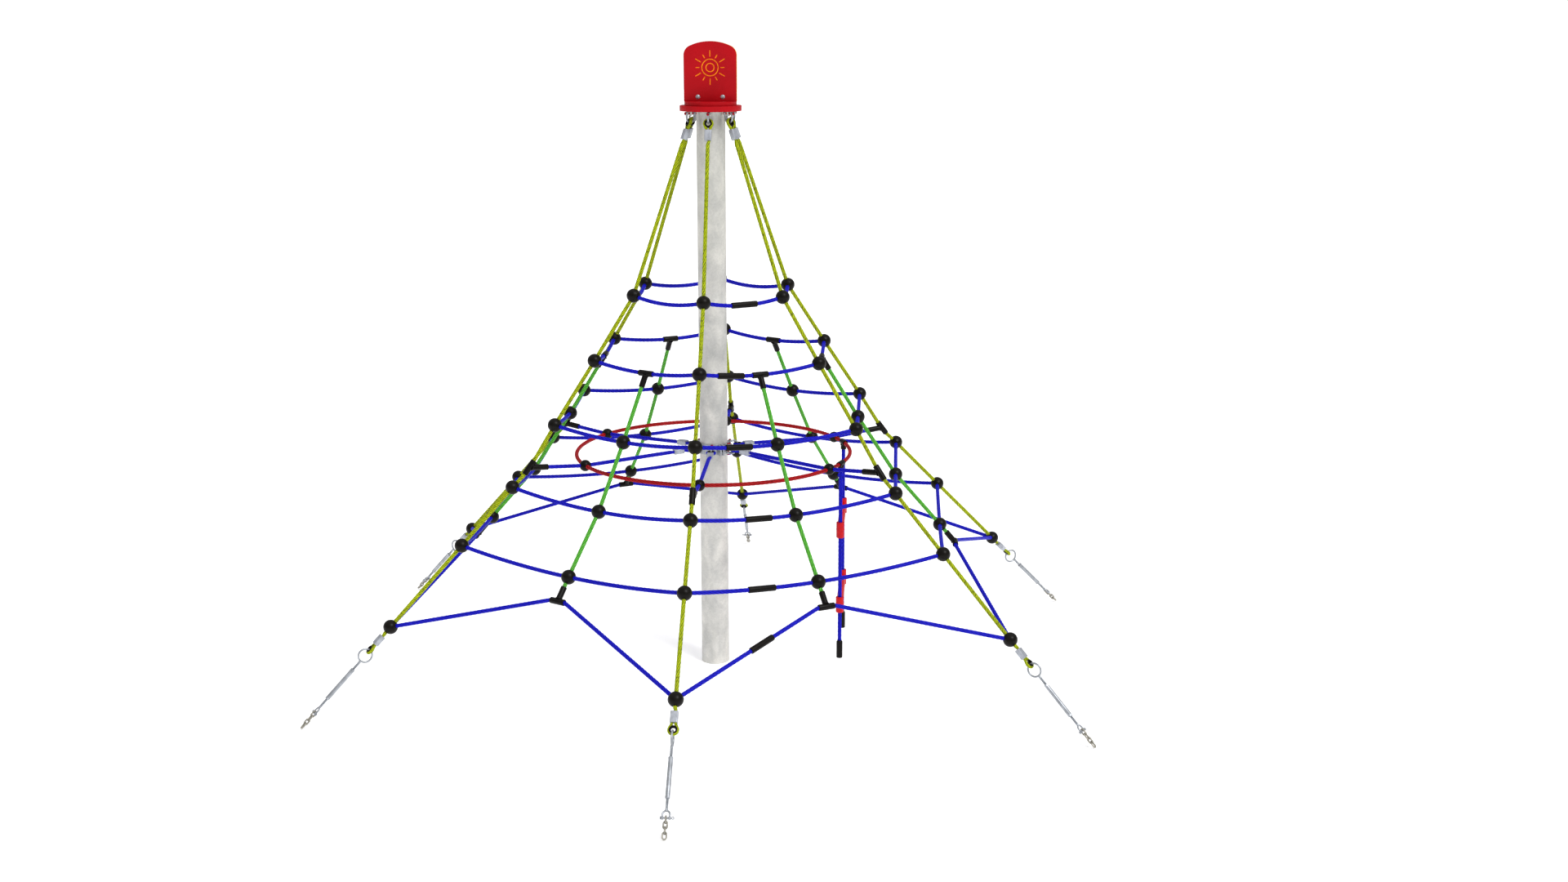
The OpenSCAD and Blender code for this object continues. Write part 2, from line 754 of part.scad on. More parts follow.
module hem_tees() {
    across = tee_bar_l / 2 * [cos(half), sin(half), 0];
    p = at(half, hem_tee_at.x, hem_tee_at.y);
    color("DimGray") each_side() tee(p - across, p + across, -infill_out, hem_stem_l);
}

module spoke_tees() {
    across = tee_bar_l / 2 * main_slope;
    color("DimGray") each_side()
        tee(spoke_tee - across, spoke_tee + across, stem_dir, spoke_stem_l, spoke_stem_start);
}

module ring_rope(k) {
    color("MediumBlue") sweep(ring_path(k), [0, 0, 1]);
}

module hem_rope() {
    color("MediumBlue") sweep(hem_path, [0, 0, 1]);
}

module splice_sleeves() {
    color("DimGray") {
        for (k = [0 : 4]) {
            a = ring_at(k, 0, splice_at(k, -1));
            b = ring_at(k, 0, splice_at(k, 1));
            along(a + unit(b - a), b) sleeve(norm(b - a) - 2, sleeve_r, bore_r);
        }
        along(hem_splice_from, hem_splice_to) sleeve(splice_l, sleeve_r, bore_r);
    }
}

// ---- Hoop, spokes and collar ----

module spoke_ropes() {
    color("MediumBlue") each_side() sweep(spoke_path, [1, 0, 0]);
}

module hoop_rope() {
    color("FireBrick") sweep(hoop_path, [0, 0, 1]);
}

module hoop_balls() {
    color("DimGray") each_side() ball_with_bores(hoop_ball, hoop_ball_d, hoop_cavity_r,
        [[spoke_eye, spoke_tee], [hoop_point(-hoop_margin), hoop_point(hoop_margin)]]);
}

module mast_collar() {
    outer = mast_d / 2 + collar_t;
    low = collar_z - collar_h / 2;
    color("Silver") difference() {
        union() {
            difference() {
                translate([0, 0, low]) cylinder(h = collar_h, r = outer);
                translate([0, 0, low - 1]) cylinder(h = collar_h + 2, r = mast_d / 2 + 0.05, $fn = 96);
            }
            rotate([0, 0, half]) for (side = [-1, 1])
                translate([-collar_gap / 2 - collar_t, side > 0 ? outer - 3 : -outer - ear_l + 3, low])
                    cube([collar_gap + 2 * collar_t, ear_l, collar_h]);
            each_side() spoke_station() {
                rotate([0, 90, 0]) translate([0, 0, -lug_t / 2]) cylinder(h = lug_t, r = lug_r);
                translate([-lug_t / 2, -lug_r, 0]) cube([lug_t, 2 * lug_r, collar_lug_r - outer + 1]);
            }
        }
        each_side() spoke_station() line_rod(-lug_t, lug_t, lug_hole_r);
        rotate([0, 0, half]) {
            translate([-collar_gap / 2, -mast_d, low - 1]) cube([collar_gap, 2 * mast_d, collar_h + 2]);
            collar_bolt_places() cylinder(h = collar_h, r = bolt_hole_r, center = true);
        }
    }
}

module collar_bolt_places() {
    y = mast_d / 2 + collar_t + collar_bolt_out;
    for (side = [-1, 1], z = [-collar_bolt_z, collar_bolt_z])
        translate([0, side * y, collar_z + z]) rotate([0, 90, 0]) children();
}

module collar_bolts() {
    grip = collar_gap / 2 + collar_t;
    color("Silver") rotate([0, 0, half]) collar_bolt_places() {
        translate([0, 0, -grip]) cylinder(h = 2 * grip + 10, r = bolt_r);
        translate([0, 0, -grip - hex_head_h]) cylinder(h = hex_head_h, r = hex_r, $fn = 6);
        translate([0, 0, grip]) cylinder(h = hex_nut_h, r = hex_r, $fn = 6);
    }
}

// ---- Ladder ----

module ladder_tees() {
    color("DimGray") for (side = [-1, 1]) {
        az = 90 + side * ladder_turn;
        p = hoop_point(az);
        across = ladder_tee_l / 2 * [cos(az), sin(az), 0];
        difference() {
            union() {
                rod(p - across, p + across, sleeve_r);
                rod(p, p - [0, 0, ladder_stem_l], stem_r);
            }
            rod(p - 1.2 * across, p + 1.2 * across, bore_r + 0.5);
            translate([p.x, p.y, ladder_top - 1]) cylinder(h = 12, r = rope_r + 0.4);
            translate([p.x, p.y, ladder_top - 0.01]) cylinder(h = 5, r1 = rope_r + 1.8, r2 = rope_r + 0.4);
        }
    }
}

module ladder_rope(side) {
    color("MediumBlue")
        sweep([for (z = ladder_rope_z) [ladder_x, side * ladder_w / 2, z, rope_r]], [1, 0, 0]);
}

module ladder_rungs() {
    color("Red") for (z = [rung_z, rung_z - rung_pitch]) translate([ladder_x, 0, z]) difference() {
        union() {
            for (side = [-1, 1]) translate([0, side * ladder_w / 2, -rung_sleeve_l / 2])
                cylinder(h = rung_sleeve_l, r = rung_sleeve_r);
            rotate([90, 0, 0]) cylinder(h = ladder_w, r = rung_bar_r, center = true);
        }
        for (side = [-1, 1]) translate([0, side * ladder_w / 2, -rung_sleeve_l])
            cylinder(h = 2 * rung_sleeve_l, r = rope_r + ladder_play);
    }
}

module ladder_end_caps() {
    r = sleeve_r + 0.5;
    for (side = [-1, 1]) color("DimGray") translate([ladder_x, side * ladder_w / 2, cap_bottom]) difference() {
        rotate_extrude() polygon([[0, 0], [r - 2, 0], [r, 2], [r, cap_l - 7], [r - 3.5, cap_l], [0, cap_l]]);
        translate([0, 0, ladder_end - cap_bottom]) cylinder(h = cap_l, r = rope_r + ladder_play);
    }
}

// ---- Anchor lines ----

// The line from the lowest ball to the ground: +X runs along it, +Y is the tangent
module anchor_line(i) {
    rotate([0, 0, (i - 1) * turn]) radial()
        translate([ball_r[5], 0, ball_z[5]]) rotate([0, anchor_dip, 0]) children();
}

module anchor_eye(i) {
    color("Silver") anchor_line(i) {
        translate([eye_at, 0, 0]) rotate([90, 0, 0])
            rotate_extrude() translate([eye_ring_r, 0]) circle(r = eye_wire_r, $fn = 32);
        line_rod(eye_at + eye_ring_r, sleeve_at + thread_in, rod_r);
    }
}

module anchor_sleeve(i) {
    far = sleeve_at + turnbuckle_l;
    color("Silver") anchor_line(i) difference() {
        union() {
            line_rod(sleeve_at, far, turnbuckle_r);
            line_rod(sleeve_at, sleeve_at + nut_l, nut_r);
            line_rod(far - nut_l, far, nut_r);
        }
        line_rod(sleeve_at - 1, far + 1, rod_r + 0.05);
    }
}

module fork() {
    difference() {
        union() {
            line_rod(sleeve_at + turnbuckle_l - thread_in, crown_at, rod_r);
            translate([crown_at + fork_r, 0, 0]) rotate([0, 0, 90])
                rotate_extrude(angle = 180) translate([fork_r, 0]) circle(r = fork_wire_r, $fn = 32);
            for (y = [-fork_r, fork_r]) translate([0, y, 0]) {
                line_rod(crown_at + fork_r, pin_at, fork_wire_r);
                translate([pin_at, 0, 0]) rotate([90, 0, 0])
                    cylinder(h = fork_ear_t, r = fork_ear_r, center = true);
            }
        }
        fork_pin_place() line_rod(-fork_pin_half, fork_pin_half, fork_pin_r + 0.1);
    }
}

module fork_pin_place() {
    translate([pin_at, 0, 0]) rotate([0, 0, 90]) children();
}

// A pin with a flat head at one end and an eyed tab at the other
module fork_pin() {
    line_rod(-fork_pin_half, fork_pin_half, fork_pin_r);
    line_rod(-fork_pin_half - pin_flat_t, -fork_pin_half, pin_head_r);
    difference() {
        translate([fork_pin_half, -tab_l / 2, -tab_t / 2]) cube([tab_l, tab_l, tab_t]);
        translate([fork_pin_half + tab_l / 2 + 0.5, 0, -tab_t]) cylinder(h = 2 * tab_t, r = tab_hole_r);
    }
}

module anchor_fork(i) {
    color("Silver") anchor_line(i) {
        fork();
        fork_pin_place() fork_pin();
    }
}

module chain_link() {
    bend_r = link_w / 2 - chain_wire / 2;
    straight = link_l - link_w;
    for (end = [-1, 1]) translate([end * straight / 2, 0, 0]) rotate([0, 0, -90 * end])
        rotate_extrude(angle = 180) translate([bend_r, 0]) circle(d = chain_wire, $fn = 24);
    for (y = [-bend_r, bend_r]) translate([-straight / 2, y, 0]) rotate([0, 90, 0])
        cylinder(h = straight, d = chain_wire, $fn = 24);
}

module anchor_chain(i) {
    pitch = link_l - 2 * chain_wire - link_play;
    first = pin_at - fork_pin_r - pin_play - chain_wire + link_l / 2;
    color("LightGray") anchor_line(i) for (n = [0 : links - 1])
        translate([first + n * pitch, 0, 0]) rotate([n % 2 == 0 ? 90 : 0, 0, 0]) chain_link();
}

// ---- Nodes ----

mast();
head_flange();
cap_disc();
cap_step_disc();
crown_panel();
crown_brackets();
crown_bolts();
bracket_screws();
shackle_bows();
shackle_pins();
rope_thimbles();
rope_ferrules();
main_ropes();
main_balls();
infill_ropes();
infill_balls();
infill_tees();
hem_tees();
spoke_tees();
ring_rope(0);  // ring_rope_1
ring_rope(1);  // ring_rope_2
ring_rope(2);  // ring_rope_3
ring_rope(3);  // ring_rope_4
ring_rope(4);  // ring_rope_5
hem_rope();
splice_sleeves();
spoke_ropes();
mast_collar();
collar_bolts();
hoop_rope();
hoop_balls();
ladder_tees();
ladder_rope(-1);  // ladder_rope_left
ladder_rope(1);  // ladder_rope_right
ladder_rungs();
ladder_end_caps();
for (i = [1 : sides]) {
    anchor_eye(i);
    anchor_sleeve(i);
    anchor_fork(i);
    anchor_chain(i);
}
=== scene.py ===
"""Looks of the rope net climber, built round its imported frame. Sizes are in metres."""
import math

import bmesh
import bpy
from mathutils import Matrix, Vector


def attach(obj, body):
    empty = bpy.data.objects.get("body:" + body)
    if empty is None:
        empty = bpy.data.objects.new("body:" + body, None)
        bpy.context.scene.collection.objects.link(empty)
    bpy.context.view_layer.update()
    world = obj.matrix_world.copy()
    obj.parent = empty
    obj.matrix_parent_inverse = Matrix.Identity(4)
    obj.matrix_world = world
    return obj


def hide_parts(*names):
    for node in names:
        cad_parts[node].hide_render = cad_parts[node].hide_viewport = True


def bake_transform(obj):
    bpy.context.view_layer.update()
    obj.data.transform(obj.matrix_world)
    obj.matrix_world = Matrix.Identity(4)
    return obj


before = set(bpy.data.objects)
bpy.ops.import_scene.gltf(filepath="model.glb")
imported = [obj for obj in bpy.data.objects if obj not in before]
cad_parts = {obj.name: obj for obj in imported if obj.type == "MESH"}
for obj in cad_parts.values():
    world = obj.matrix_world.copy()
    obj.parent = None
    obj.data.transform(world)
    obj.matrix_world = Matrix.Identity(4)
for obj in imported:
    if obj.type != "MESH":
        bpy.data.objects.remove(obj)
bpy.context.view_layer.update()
MM = 0.001

# ---- Camera, light and floor ----

CAMERA_AT = (0.7310, -7.1817, 2.6503)
CAMERA_TURN = (76.724, 0.0, 3.520)
CAMERA_LENS = 41.45


def add_camera():
    data = bpy.data.cameras.new("camera")
    data.lens = CAMERA_LENS
    data.sensor_width = 36.0
    camera = bpy.data.objects.new("camera", data)
    camera.location = CAMERA_AT
    camera.rotation_euler = [math.radians(a) for a in CAMERA_TURN]
    bpy.context.scene.collection.objects.link(camera)
    bpy.context.scene.camera = camera


add_camera()

# ---- Net, anchor line and rope dimensions, the same as the frame's ----

SIDES = 6
TURN = 360 / SIDES
HALF = TURN / 2
BALL_R = (0.340, 0.510, 0.682, 0.863, 1.076, 1.370)
BALL_Z = (1.573, 1.326, 1.084, 0.853, 0.644, 0.357)
RING_SAG = (0.021, 0.023, 0.025, 0.033, 0.034)
RING_SPLICE = (0.51, 0.257, 0.264, 0.32, 0.285)
HEM_TEE = (0.997, 0.533)
HEM_SPLICE = 0.59
SPOKE_TEE = (0.792, 0.925)

ROPE_R = 8 * MM
PINCH_R = 0.7 * ROPE_R
PINCH_OFF = PINCH_R + 0.3 * MM
REACH = 17 * MM
LOW_REACH = 21 * MM
BALL_D = 56 * MM
HOOP_BALL_D = 46 * MM
SLEEVE_R = 12 * MM
STEM_R = 11.6 * MM
SPLICE_L = 110 * MM
TEE_BAR = 66 * MM
STEM_START = 11 * MM
SPOKE_STEM_START = 16 * MM
INFILL_STEM = 58 * MM
HEM_STEM = 60 * MM
SPOKE_STEM = 77 * MM

LOOP_R = 15.6 * MM
LOOP_ROPE_R = 6 * MM
EYE_HOLE = 7.7 * MM
FERRULE_START = 26 * MM
FERRULE_L = 42 * MM
FERRULE_GAP = 5.4 * MM
FERRULE_ROPE_R = 5.2 * MM
EYE_L = FERRULE_START + FERRULE_L

BOW_R = 16 * MM
BOW_WIRE = 4 * MM
BOW_DROP = 18 * MM
SEAT = BOW_R + EYE_HOLE - BOW_WIRE - 0.3 * MM
HEAD_LUG = (0.087, 2.275)
COLLAR_LUG_R = 0.073
COLLAR_Z = 0.925

HOOP_R = 0.560
HOOP_Z = 0.907
LADDER_HALF = 0.187
LADDER_X = math.sqrt(HOOP_R**2 - LADDER_HALF**2)

DIP = math.radians(44.08)
EYE_AT = 144 * MM
RING_R = 26.5 * MM
RING_WIRE = 3.75 * MM


def at(azimuth, radius, z):
    a = math.radians(azimuth)
    return Vector((radius * math.sin(a), -radius * math.cos(a), z))


def across(azimuth):
    a = math.radians(azimuth)
    return Vector((math.cos(a), math.sin(a), 0))


def spun(v, azimuth):
    return Matrix.Rotation(math.radians(azimuth), 3, "Z") @ v


def ball(k, azimuth):
    return at(azimuth, BALL_R[k], BALL_Z[k])


def ring_at(k, azimuth, share):
    sag = Vector((0, 0, 4 * RING_SAG[k] * share * (1 - share)))
    return ball(k, azimuth).lerp(ball(k, azimuth + TURN), share) - sag


# The front rope's ends, and the stops that it passes on the way down
head_bow = at(0, HEAD_LUG[0], HEAD_LUG[1] - BOW_DROP)
head_dir = (ball(0, 0) - head_bow).normalized()
head_eye = head_bow + SEAT * head_dir
foot_dir = at(0, math.cos(DIP), -math.sin(DIP))
foot_eye = ball(5, 0) + (EYE_AT - RING_R - (EYE_HOLE - RING_WIRE - 0.3 * MM)) * foot_dir
main_slope = (ball(3, 0) - ball(2, 0)).normalized()
spoke_tee = at(0, *SPOKE_TEE)


def main_stop(k):
    return head_eye if k < 0 else foot_eye if k > 5 else ball(k, 0)


def main_normal(k):
    return (main_stop(k + 1) - main_stop(k - 1)).cross(Vector((1, 0, 0))).normalized()


def infill_stop(k):
    return at(HALF, *HEM_TEE) if k > 4 else ring_at(k, 0, 0.5)


def infill_normal(k):
    return (infill_stop(k + 1) - infill_stop(k - 1)).cross(across(HALF)).normalized()


# ---- Rope routes, each a list of (point, radius) ----


def crossing(before, p, after, off, reach=REACH, pinch=8 * MM):
    come = (p - before).normalized()
    leave = (after - p).normalized()
    corner = [(p + off, PINCH_R)] if (come - leave).length > 0.3 else []
    return (
        [(p - reach * come, ROPE_R), (p + off - pinch * come, PINCH_R)]
        + corner
        + [(p + off + pinch * leave, PINCH_R), (p + reach * leave, ROPE_R)]
    )


EYE_STEPS = 16
eye_wrap = math.asin(LOOP_R / math.hypot(FERRULE_GAP, FERRULE_START)) + math.atan2(FERRULE_START, FERRULE_GAP)


def eye_route(centre, side, away):
    leg = FERRULE_GAP * side
    start = (FERRULE_START - 1.5 * MM) * away
    route = [(centre - leg + (EYE_L - 4 * MM) * away, FERRULE_ROPE_R), (centre - leg + start, FERRULE_ROPE_R)]
    for i in range(EYE_STEPS + 1):
        a = eye_wrap * (2 * i / EYE_STEPS - 1)
        route.append((centre + LOOP_R * (math.sin(a) * side - math.cos(a) * away), LOOP_ROPE_R))
    route.append((centre + leg + start, FERRULE_ROPE_R))
    route.append((centre + leg + (EYE_L + 1.5 * MM) * away, FERRULE_ROPE_R))
    route.append((centre + (EYE_L + 12 * MM) * away, ROPE_R))
    return route


def turned(route, azimuth):
    return [(spun(p, azimuth), r) for p, r in route]


def main_route():
    bar = (TEE_BAR / 2 + MM) * main_slope
    route = eye_route(head_eye, Vector((1, 0, 0)), head_dir)
    for k in range(6):
        before = spoke_tee + bar if k == 3 else main_stop(k - 1)
        after = spoke_tee - bar if k == 2 else main_stop(k + 1)
        reach = LOW_REACH if k == 5 else REACH
        route += crossing(before, ball(k, 0), after, PINCH_OFF * main_normal(k), reach)
        if k == 2:
            route += [(spoke_tee - bar, ROPE_R), (spoke_tee + bar, ROPE_R)]
    return route + eye_route(foot_eye, Vector((1, 0, 0)), -foot_dir)[::-1]


infill_in = (infill_stop(2) - infill_stop(1)).normalized()
infill_out = (infill_stop(5) - infill_stop(4)).normalized()


def infill_route():
    route = [(infill_stop(1) + STEM_START * infill_in, ROPE_R)]
    for k in (2, 3, 4):
        stops = [infill_stop(n) for n in (k - 1, k, k + 1)]
        route += crossing(*stops, PINCH_OFF * infill_normal(k))
    return route + [(infill_stop(5) - STEM_START * infill_out, ROPE_R)]


RING_POINTS = 16


def ring_splice(k):
    side = (ball(k, TURN) - ball(k, 0)).length
    reach = (SPLICE_L / 2 + MM) / side
    return RING_SPLICE[k] - reach, RING_SPLICE[k] + reach


def ring_side(k, azimuth, low, high):
    """The points of one side whose shares lie between low and high, through its middle connector."""
    margin = TEE_BAR / 2 / (ball(k, TURN) - ball(k, 0)).length
    points = []
    for i in range(1, RING_POINTS):
        share = i / RING_POINTS
        if not low < share < high:
            continue
        if k > 0 and abs(share - 0.5) < margin:
            if k == 1 and i == RING_POINTS // 2:
                points += [(ring_at(k, azimuth, 0.5 + e * margin), ROPE_R) for e in (-1, 1)]
            elif i == RING_POINTS // 2:
                off = -PINCH_OFF * spun(infill_normal(k), azimuth)
                ends = ring_at(k, azimuth, 1 / 3), ring_at(k, azimuth, 2 / 3)
                points += crossing(ends[0], ring_at(k, azimuth, 0.5), ends[1], off)
            continue
        points.append((ring_at(k, azimuth, share), ROPE_R))
    return points


def ring_corner(k, azimuth):
    off = -PINCH_OFF * spun(main_normal(k), azimuth)
    return crossing(ring_at(k, azimuth - TURN, 5 / 6), ball(k, azimuth), ring_at(k, azimuth, 1 / 6), off)


def ring_route(k):
    low, high = ring_splice(k)
    start = ring_at(k, 0, low)
    end = ring_at(k, 0, high)
    join = start.lerp(end, 0.5)
    route = [(join, ROPE_R), (end, ROPE_R)] + ring_side(k, 0, high + 0.02, 1)
    for j in range(1, SIDES):
        route += ring_corner(k, j * TURN) + ring_side(k, j * TURN, 0, 1)
    route += ring_corner(k, 0) + ring_side(k, 0, 0, low - 0.02)
    return route + [(start, ROPE_R), (join, ROPE_R)]


def hem_tee(azimuth, end):
    return at(azimuth + HALF, *HEM_TEE) + end * (TEE_BAR / 2 + MM) * across(azimuth + HALF)


hem_line = hem_tee(0, -1) - ball(5, 0)
hem_join = ball(5, 0) + HEM_SPLICE * hem_line


def hem_route():
    route = [(hem_join, ROPE_R)]
    for j in range(SIDES + 1):
        az = (j % SIDES) * TURN
        if j > 0:
            off = -PINCH_OFF * spun(main_normal(5), az)
            route += crossing(hem_tee(az - TURN, 1), ball(5, az), hem_tee(az, -1), off, LOW_REACH)
        if j < SIDES:
            route += [(hem_tee(az, -1), ROPE_R), (hem_tee(az, 1), ROPE_R)]
    return route + [(hem_join, ROPE_R)]


HOOP_REACH = 14 * MM
HOOP_PINCH = 6.5 * MM
HOOP_MARGIN = 3
HOOP_STEP = 3
HOOP_START = HALF + 3
LADDER_TURN = math.degrees(math.asin(LADDER_HALF / HOOP_R))
LADDER_TEE = 48 * MM
LADDER_TEE_MARGIN = 3.4


def hoop_at(azimuth):
    return at(azimuth, HOOP_R, HOOP_Z)


def hoop_arc(start, end):
    count = math.ceil((end - start) / HOOP_STEP)
    return [(hoop_at(start + (end - start) * i / count), ROPE_R) for i in range(count + 1)]


def hoop_crossing(azimuth):
    ends = hoop_at(azimuth - HOOP_MARGIN), hoop_at(azimuth + HOOP_MARGIN)
    return crossing(ends[0], hoop_at(azimuth), ends[1], Vector((0, 0, -PINCH_OFF)), HOOP_REACH, HOOP_PINCH)


def hoop_tee(azimuth):
    """The hoop runs straight through a ladder tee."""
    reach = (LADDER_TEE / 2 + MM) * across(azimuth)
    return [(hoop_at(azimuth) - reach, ROPE_R), (hoop_at(azimuth) + reach, ROPE_R)]


def hoop_side(azimuth):
    start, end = azimuth + HOOP_MARGIN, azimuth + TURN - HOOP_MARGIN
    if azimuth != TURN:
        return hoop_arc(start, end)
    tees = 90 - LADDER_TURN, 90 + LADDER_TURN
    return (
        hoop_arc(start, tees[0] - LADDER_TEE_MARGIN)
        + hoop_tee(tees[0])
        + hoop_arc(tees[0] + LADDER_TEE_MARGIN, tees[1] - LADDER_TEE_MARGIN)
        + hoop_tee(tees[1])
        + hoop_arc(tees[1] + LADDER_TEE_MARGIN, end)
    )


def hoop_route():
    route = hoop_arc(HOOP_START, TURN - HOOP_MARGIN)
    for j in range(1, SIDES):
        route += hoop_crossing(j * TURN) + hoop_side(j * TURN)
    return route + hoop_crossing(0) + hoop_arc(HOOP_MARGIN, HOOP_START)


hoop_ball = at(0, HOOP_R, HOOP_Z)
spoke_bow = at(0, COLLAR_LUG_R + BOW_DROP, COLLAR_Z)
spoke_dir = (hoop_ball - spoke_bow).normalized()
spoke_eye = spoke_bow + SEAT * spoke_dir
stem_dir = (hoop_ball - spoke_tee).normalized()


def spoke_route():
    off = Vector((0, 0, PINCH_OFF))
    route = eye_route(spoke_eye, Vector((1, 0, 0)), spoke_dir)
    route += crossing(spoke_eye, hoop_ball, spoke_tee, off, HOOP_REACH, HOOP_PINCH)
    return route + [(spoke_tee + SPOKE_STEM_START * stem_dir, ROPE_R)]


LADDER_TOP = 0.877
LADDER_END = 0.102
LADDER_Z = [LADDER_TOP] + [0.840 - 0.040 * i for i in range(18)] + [0.130, LADDER_END]


def ladder_route(side):
    return [(Vector((LADDER_X, side * LADDER_HALF, z)), ROPE_R) for z in LADDER_Z]


# ---- Materials ----


def linear(hex_colour):
    """An sRGB hex colour as linear red, green, blue and alpha."""
    channels = [int(hex_colour[i : i + 2], 16) / 255 for i in (1, 3, 5)]
    return [c / 12.92 if c <= 0.04045 else ((c + 0.055) / 1.055) ** 2.4 for c in channels] + [1.0]


def add_node(tree, kind, links=None, **settings):
    """Adds a node with its properties, and its inputs' values by name or number."""
    node = tree.nodes.new(kind)
    values = settings.pop("values", {})
    for key, value in settings.items():
        setattr(node, key, value)
    for key, value in values.items():
        node.inputs[key].default_value = value
    for key, source in (links or {}).items():
        tree.links.new(source, node.inputs[key])
    return node


def new_material(name):
    material = bpy.data.materials.new(name)
    material.use_nodes = True
    tree = material.node_tree
    shader = tree.nodes["Principled BSDF"]
    return material, tree, shader


def ramp(tree, factor, stops):
    node = add_node(tree, "ShaderNodeValToRGB", {"Fac": factor})
    elements = node.color_ramp.elements
    while len(elements) < len(stops):
        elements.new(0.5)
    for element, (place, colour) in zip(elements, stops):
        element.position = place
        element.color = colour
    return node.outputs["Color"]


def grey(level):
    return (level, level, level, 1)


def calculated(tree, operation, first, second=None):
    """The result of one sum, whose second term is a socket, a number or absent."""
    number = isinstance(second, (int, float))
    links = {0: first} if number or second is None else {0: first, 1: second}
    values = {1: second} if number else {}
    return add_node(tree, "ShaderNodeMath", links, operation=operation, values=values).outputs[0]


def noise(tree, vector, scale, detail, **more):
    values = {"Scale": scale, "Detail": detail, **more}
    return add_node(tree, "ShaderNodeTexNoise", {"Vector": vector}, values=values).outputs["Fac"]


def spread(tree, factor, low, high):
    return add_node(tree, "ShaderNodeMapRange", {0: factor}, values={3: low, 4: high}).outputs[0]


def multiplied(tree, colour, tint):
    node = add_node(tree, "ShaderNodeMix", {6: colour, 7: tint}, data_type="RGBA",
                    blend_type="MULTIPLY", values={0: 1.0})
    return node.outputs[2]


def finish_shader(tree, shader, colour, height, strength, distance, gloss=None):
    """Links a colour, a bump and, if given, a varying roughness."""
    tree.links.new(colour, shader.inputs["Base Color"])
    if gloss:
        tree.links.new(gloss, shader.inputs["Roughness"])
    bump = add_node(tree, "ShaderNodeBump", {"Height": height},
                    values={"Strength": strength, "Distance": distance})
    tree.links.new(bump.outputs[0], shader.inputs["Normal"])


STRANDS = 6
ROPE_LAY = 108 * MM
ROPE_STEP = 6 * MM
SMOOTHING_ROUNDS = 2
WIRE_RESOLUTION = 5
# How often the yarns and the flecks repeat in a metre of rope, and across a strand
YARN_SLANT = 40.0
YARNS_ALONG = 70.0
YARNS_ACROSS = 7.0
FLECKS_ALONG = 85.0
FLECKS_ACROSS = 3.1


def strand_rope(name, base, dark, light, fleck=None):
    """Six-strand polyamide rope: bright spun fibre, with painted shade darkening the grooves where the
    strands meet.
    """
    material, tree, shader = new_material(name)
    uv = add_node(tree, "ShaderNodeUVMap", uv_map="rope")
    parts = add_node(tree, "ShaderNodeSeparateXYZ", {0: uv.outputs[0]})
    length = parts.outputs[0]
    strand = calculated(tree, "MULTIPLY", parts.outputs[1], STRANDS)
    centred = calculated(tree, "SUBTRACT", calculated(tree, "FRACT", strand), 0.5)
    groove = calculated(tree, "ABSOLUTE", centred)
    # The yarns run at a slant over each strand
    yarn_side = calculated(tree, "ADD", strand, calculated(tree, "MULTIPLY", length, YARN_SLANT))
    yarn_u = calculated(tree, "MULTIPLY", length, YARNS_ALONG)
    yarn_v = calculated(tree, "MULTIPLY", yarn_side, YARNS_ACROSS)
    yarn = noise(tree, add_node(tree, "ShaderNodeCombineXYZ", {0: yarn_u, 1: yarn_v}).outputs[0], 1.0, 2.0)
    shade = ramp(tree, yarn, [(0.32, dark), (0.5, base), (0.72, light)])
    # Painted shade: the colour darkens towards the middle of each groove between strands
    shadow = ramp(tree, groove, [(0.28, grey(1)), (0.48, grey(0.12))])
    colour = multiplied(tree, shade, shadow)
    if fleck:
        fleck_u = calculated(tree, "MULTIPLY", length, FLECKS_ALONG)
        fleck_v = calculated(tree, "MULTIPLY", yarn_side, FLECKS_ACROSS)
        fleck_at = add_node(tree, "ShaderNodeCombineXYZ", {0: fleck_u, 1: fleck_v, 2: fleck_v})
        mask = ramp(tree, noise(tree, fleck_at.outputs[0], 1.0, 1.0), [(0.585, grey(0)), (0.625, grey(1))])
        mixed = add_node(tree, "ShaderNodeMix", {0: mask, 6: colour}, data_type="RGBA", values={7: fleck})
        colour = mixed.outputs[2]
    shader.inputs["Roughness"].default_value = 0.5
    shader.inputs["Specular IOR Level"].default_value = 0.15
    finish_shader(tree, shader, colour, yarn, 0.5, 0.6 * MM)
    return material


def moulded_plastic(name, base, roughness, specular=0.25):
    """Injection-moulded plastic: a satin skin with a fine spark-eroded grain."""
    material, tree, shader = new_material(name)
    place = add_node(tree, "ShaderNodeTexCoord").outputs["Object"]
    cloud = noise(tree, place, 60.0, 3.0)
    grit = noise(tree, place, 1400.0, 1.0)
    worn = [min(1.0, c * 1.35 + 0.002) for c in base[:3]] + [1.0]
    shade = ramp(tree, cloud, [(0.35, base), (0.75, worn)])
    gloss = spread(tree, cloud, roughness - 0.06, roughness + 0.08)
    shader.inputs["Specular IOR Level"].default_value = specular
    finish_shader(tree, shader, shade, grit, 0.2, 0.1 * MM, gloss)
    return material


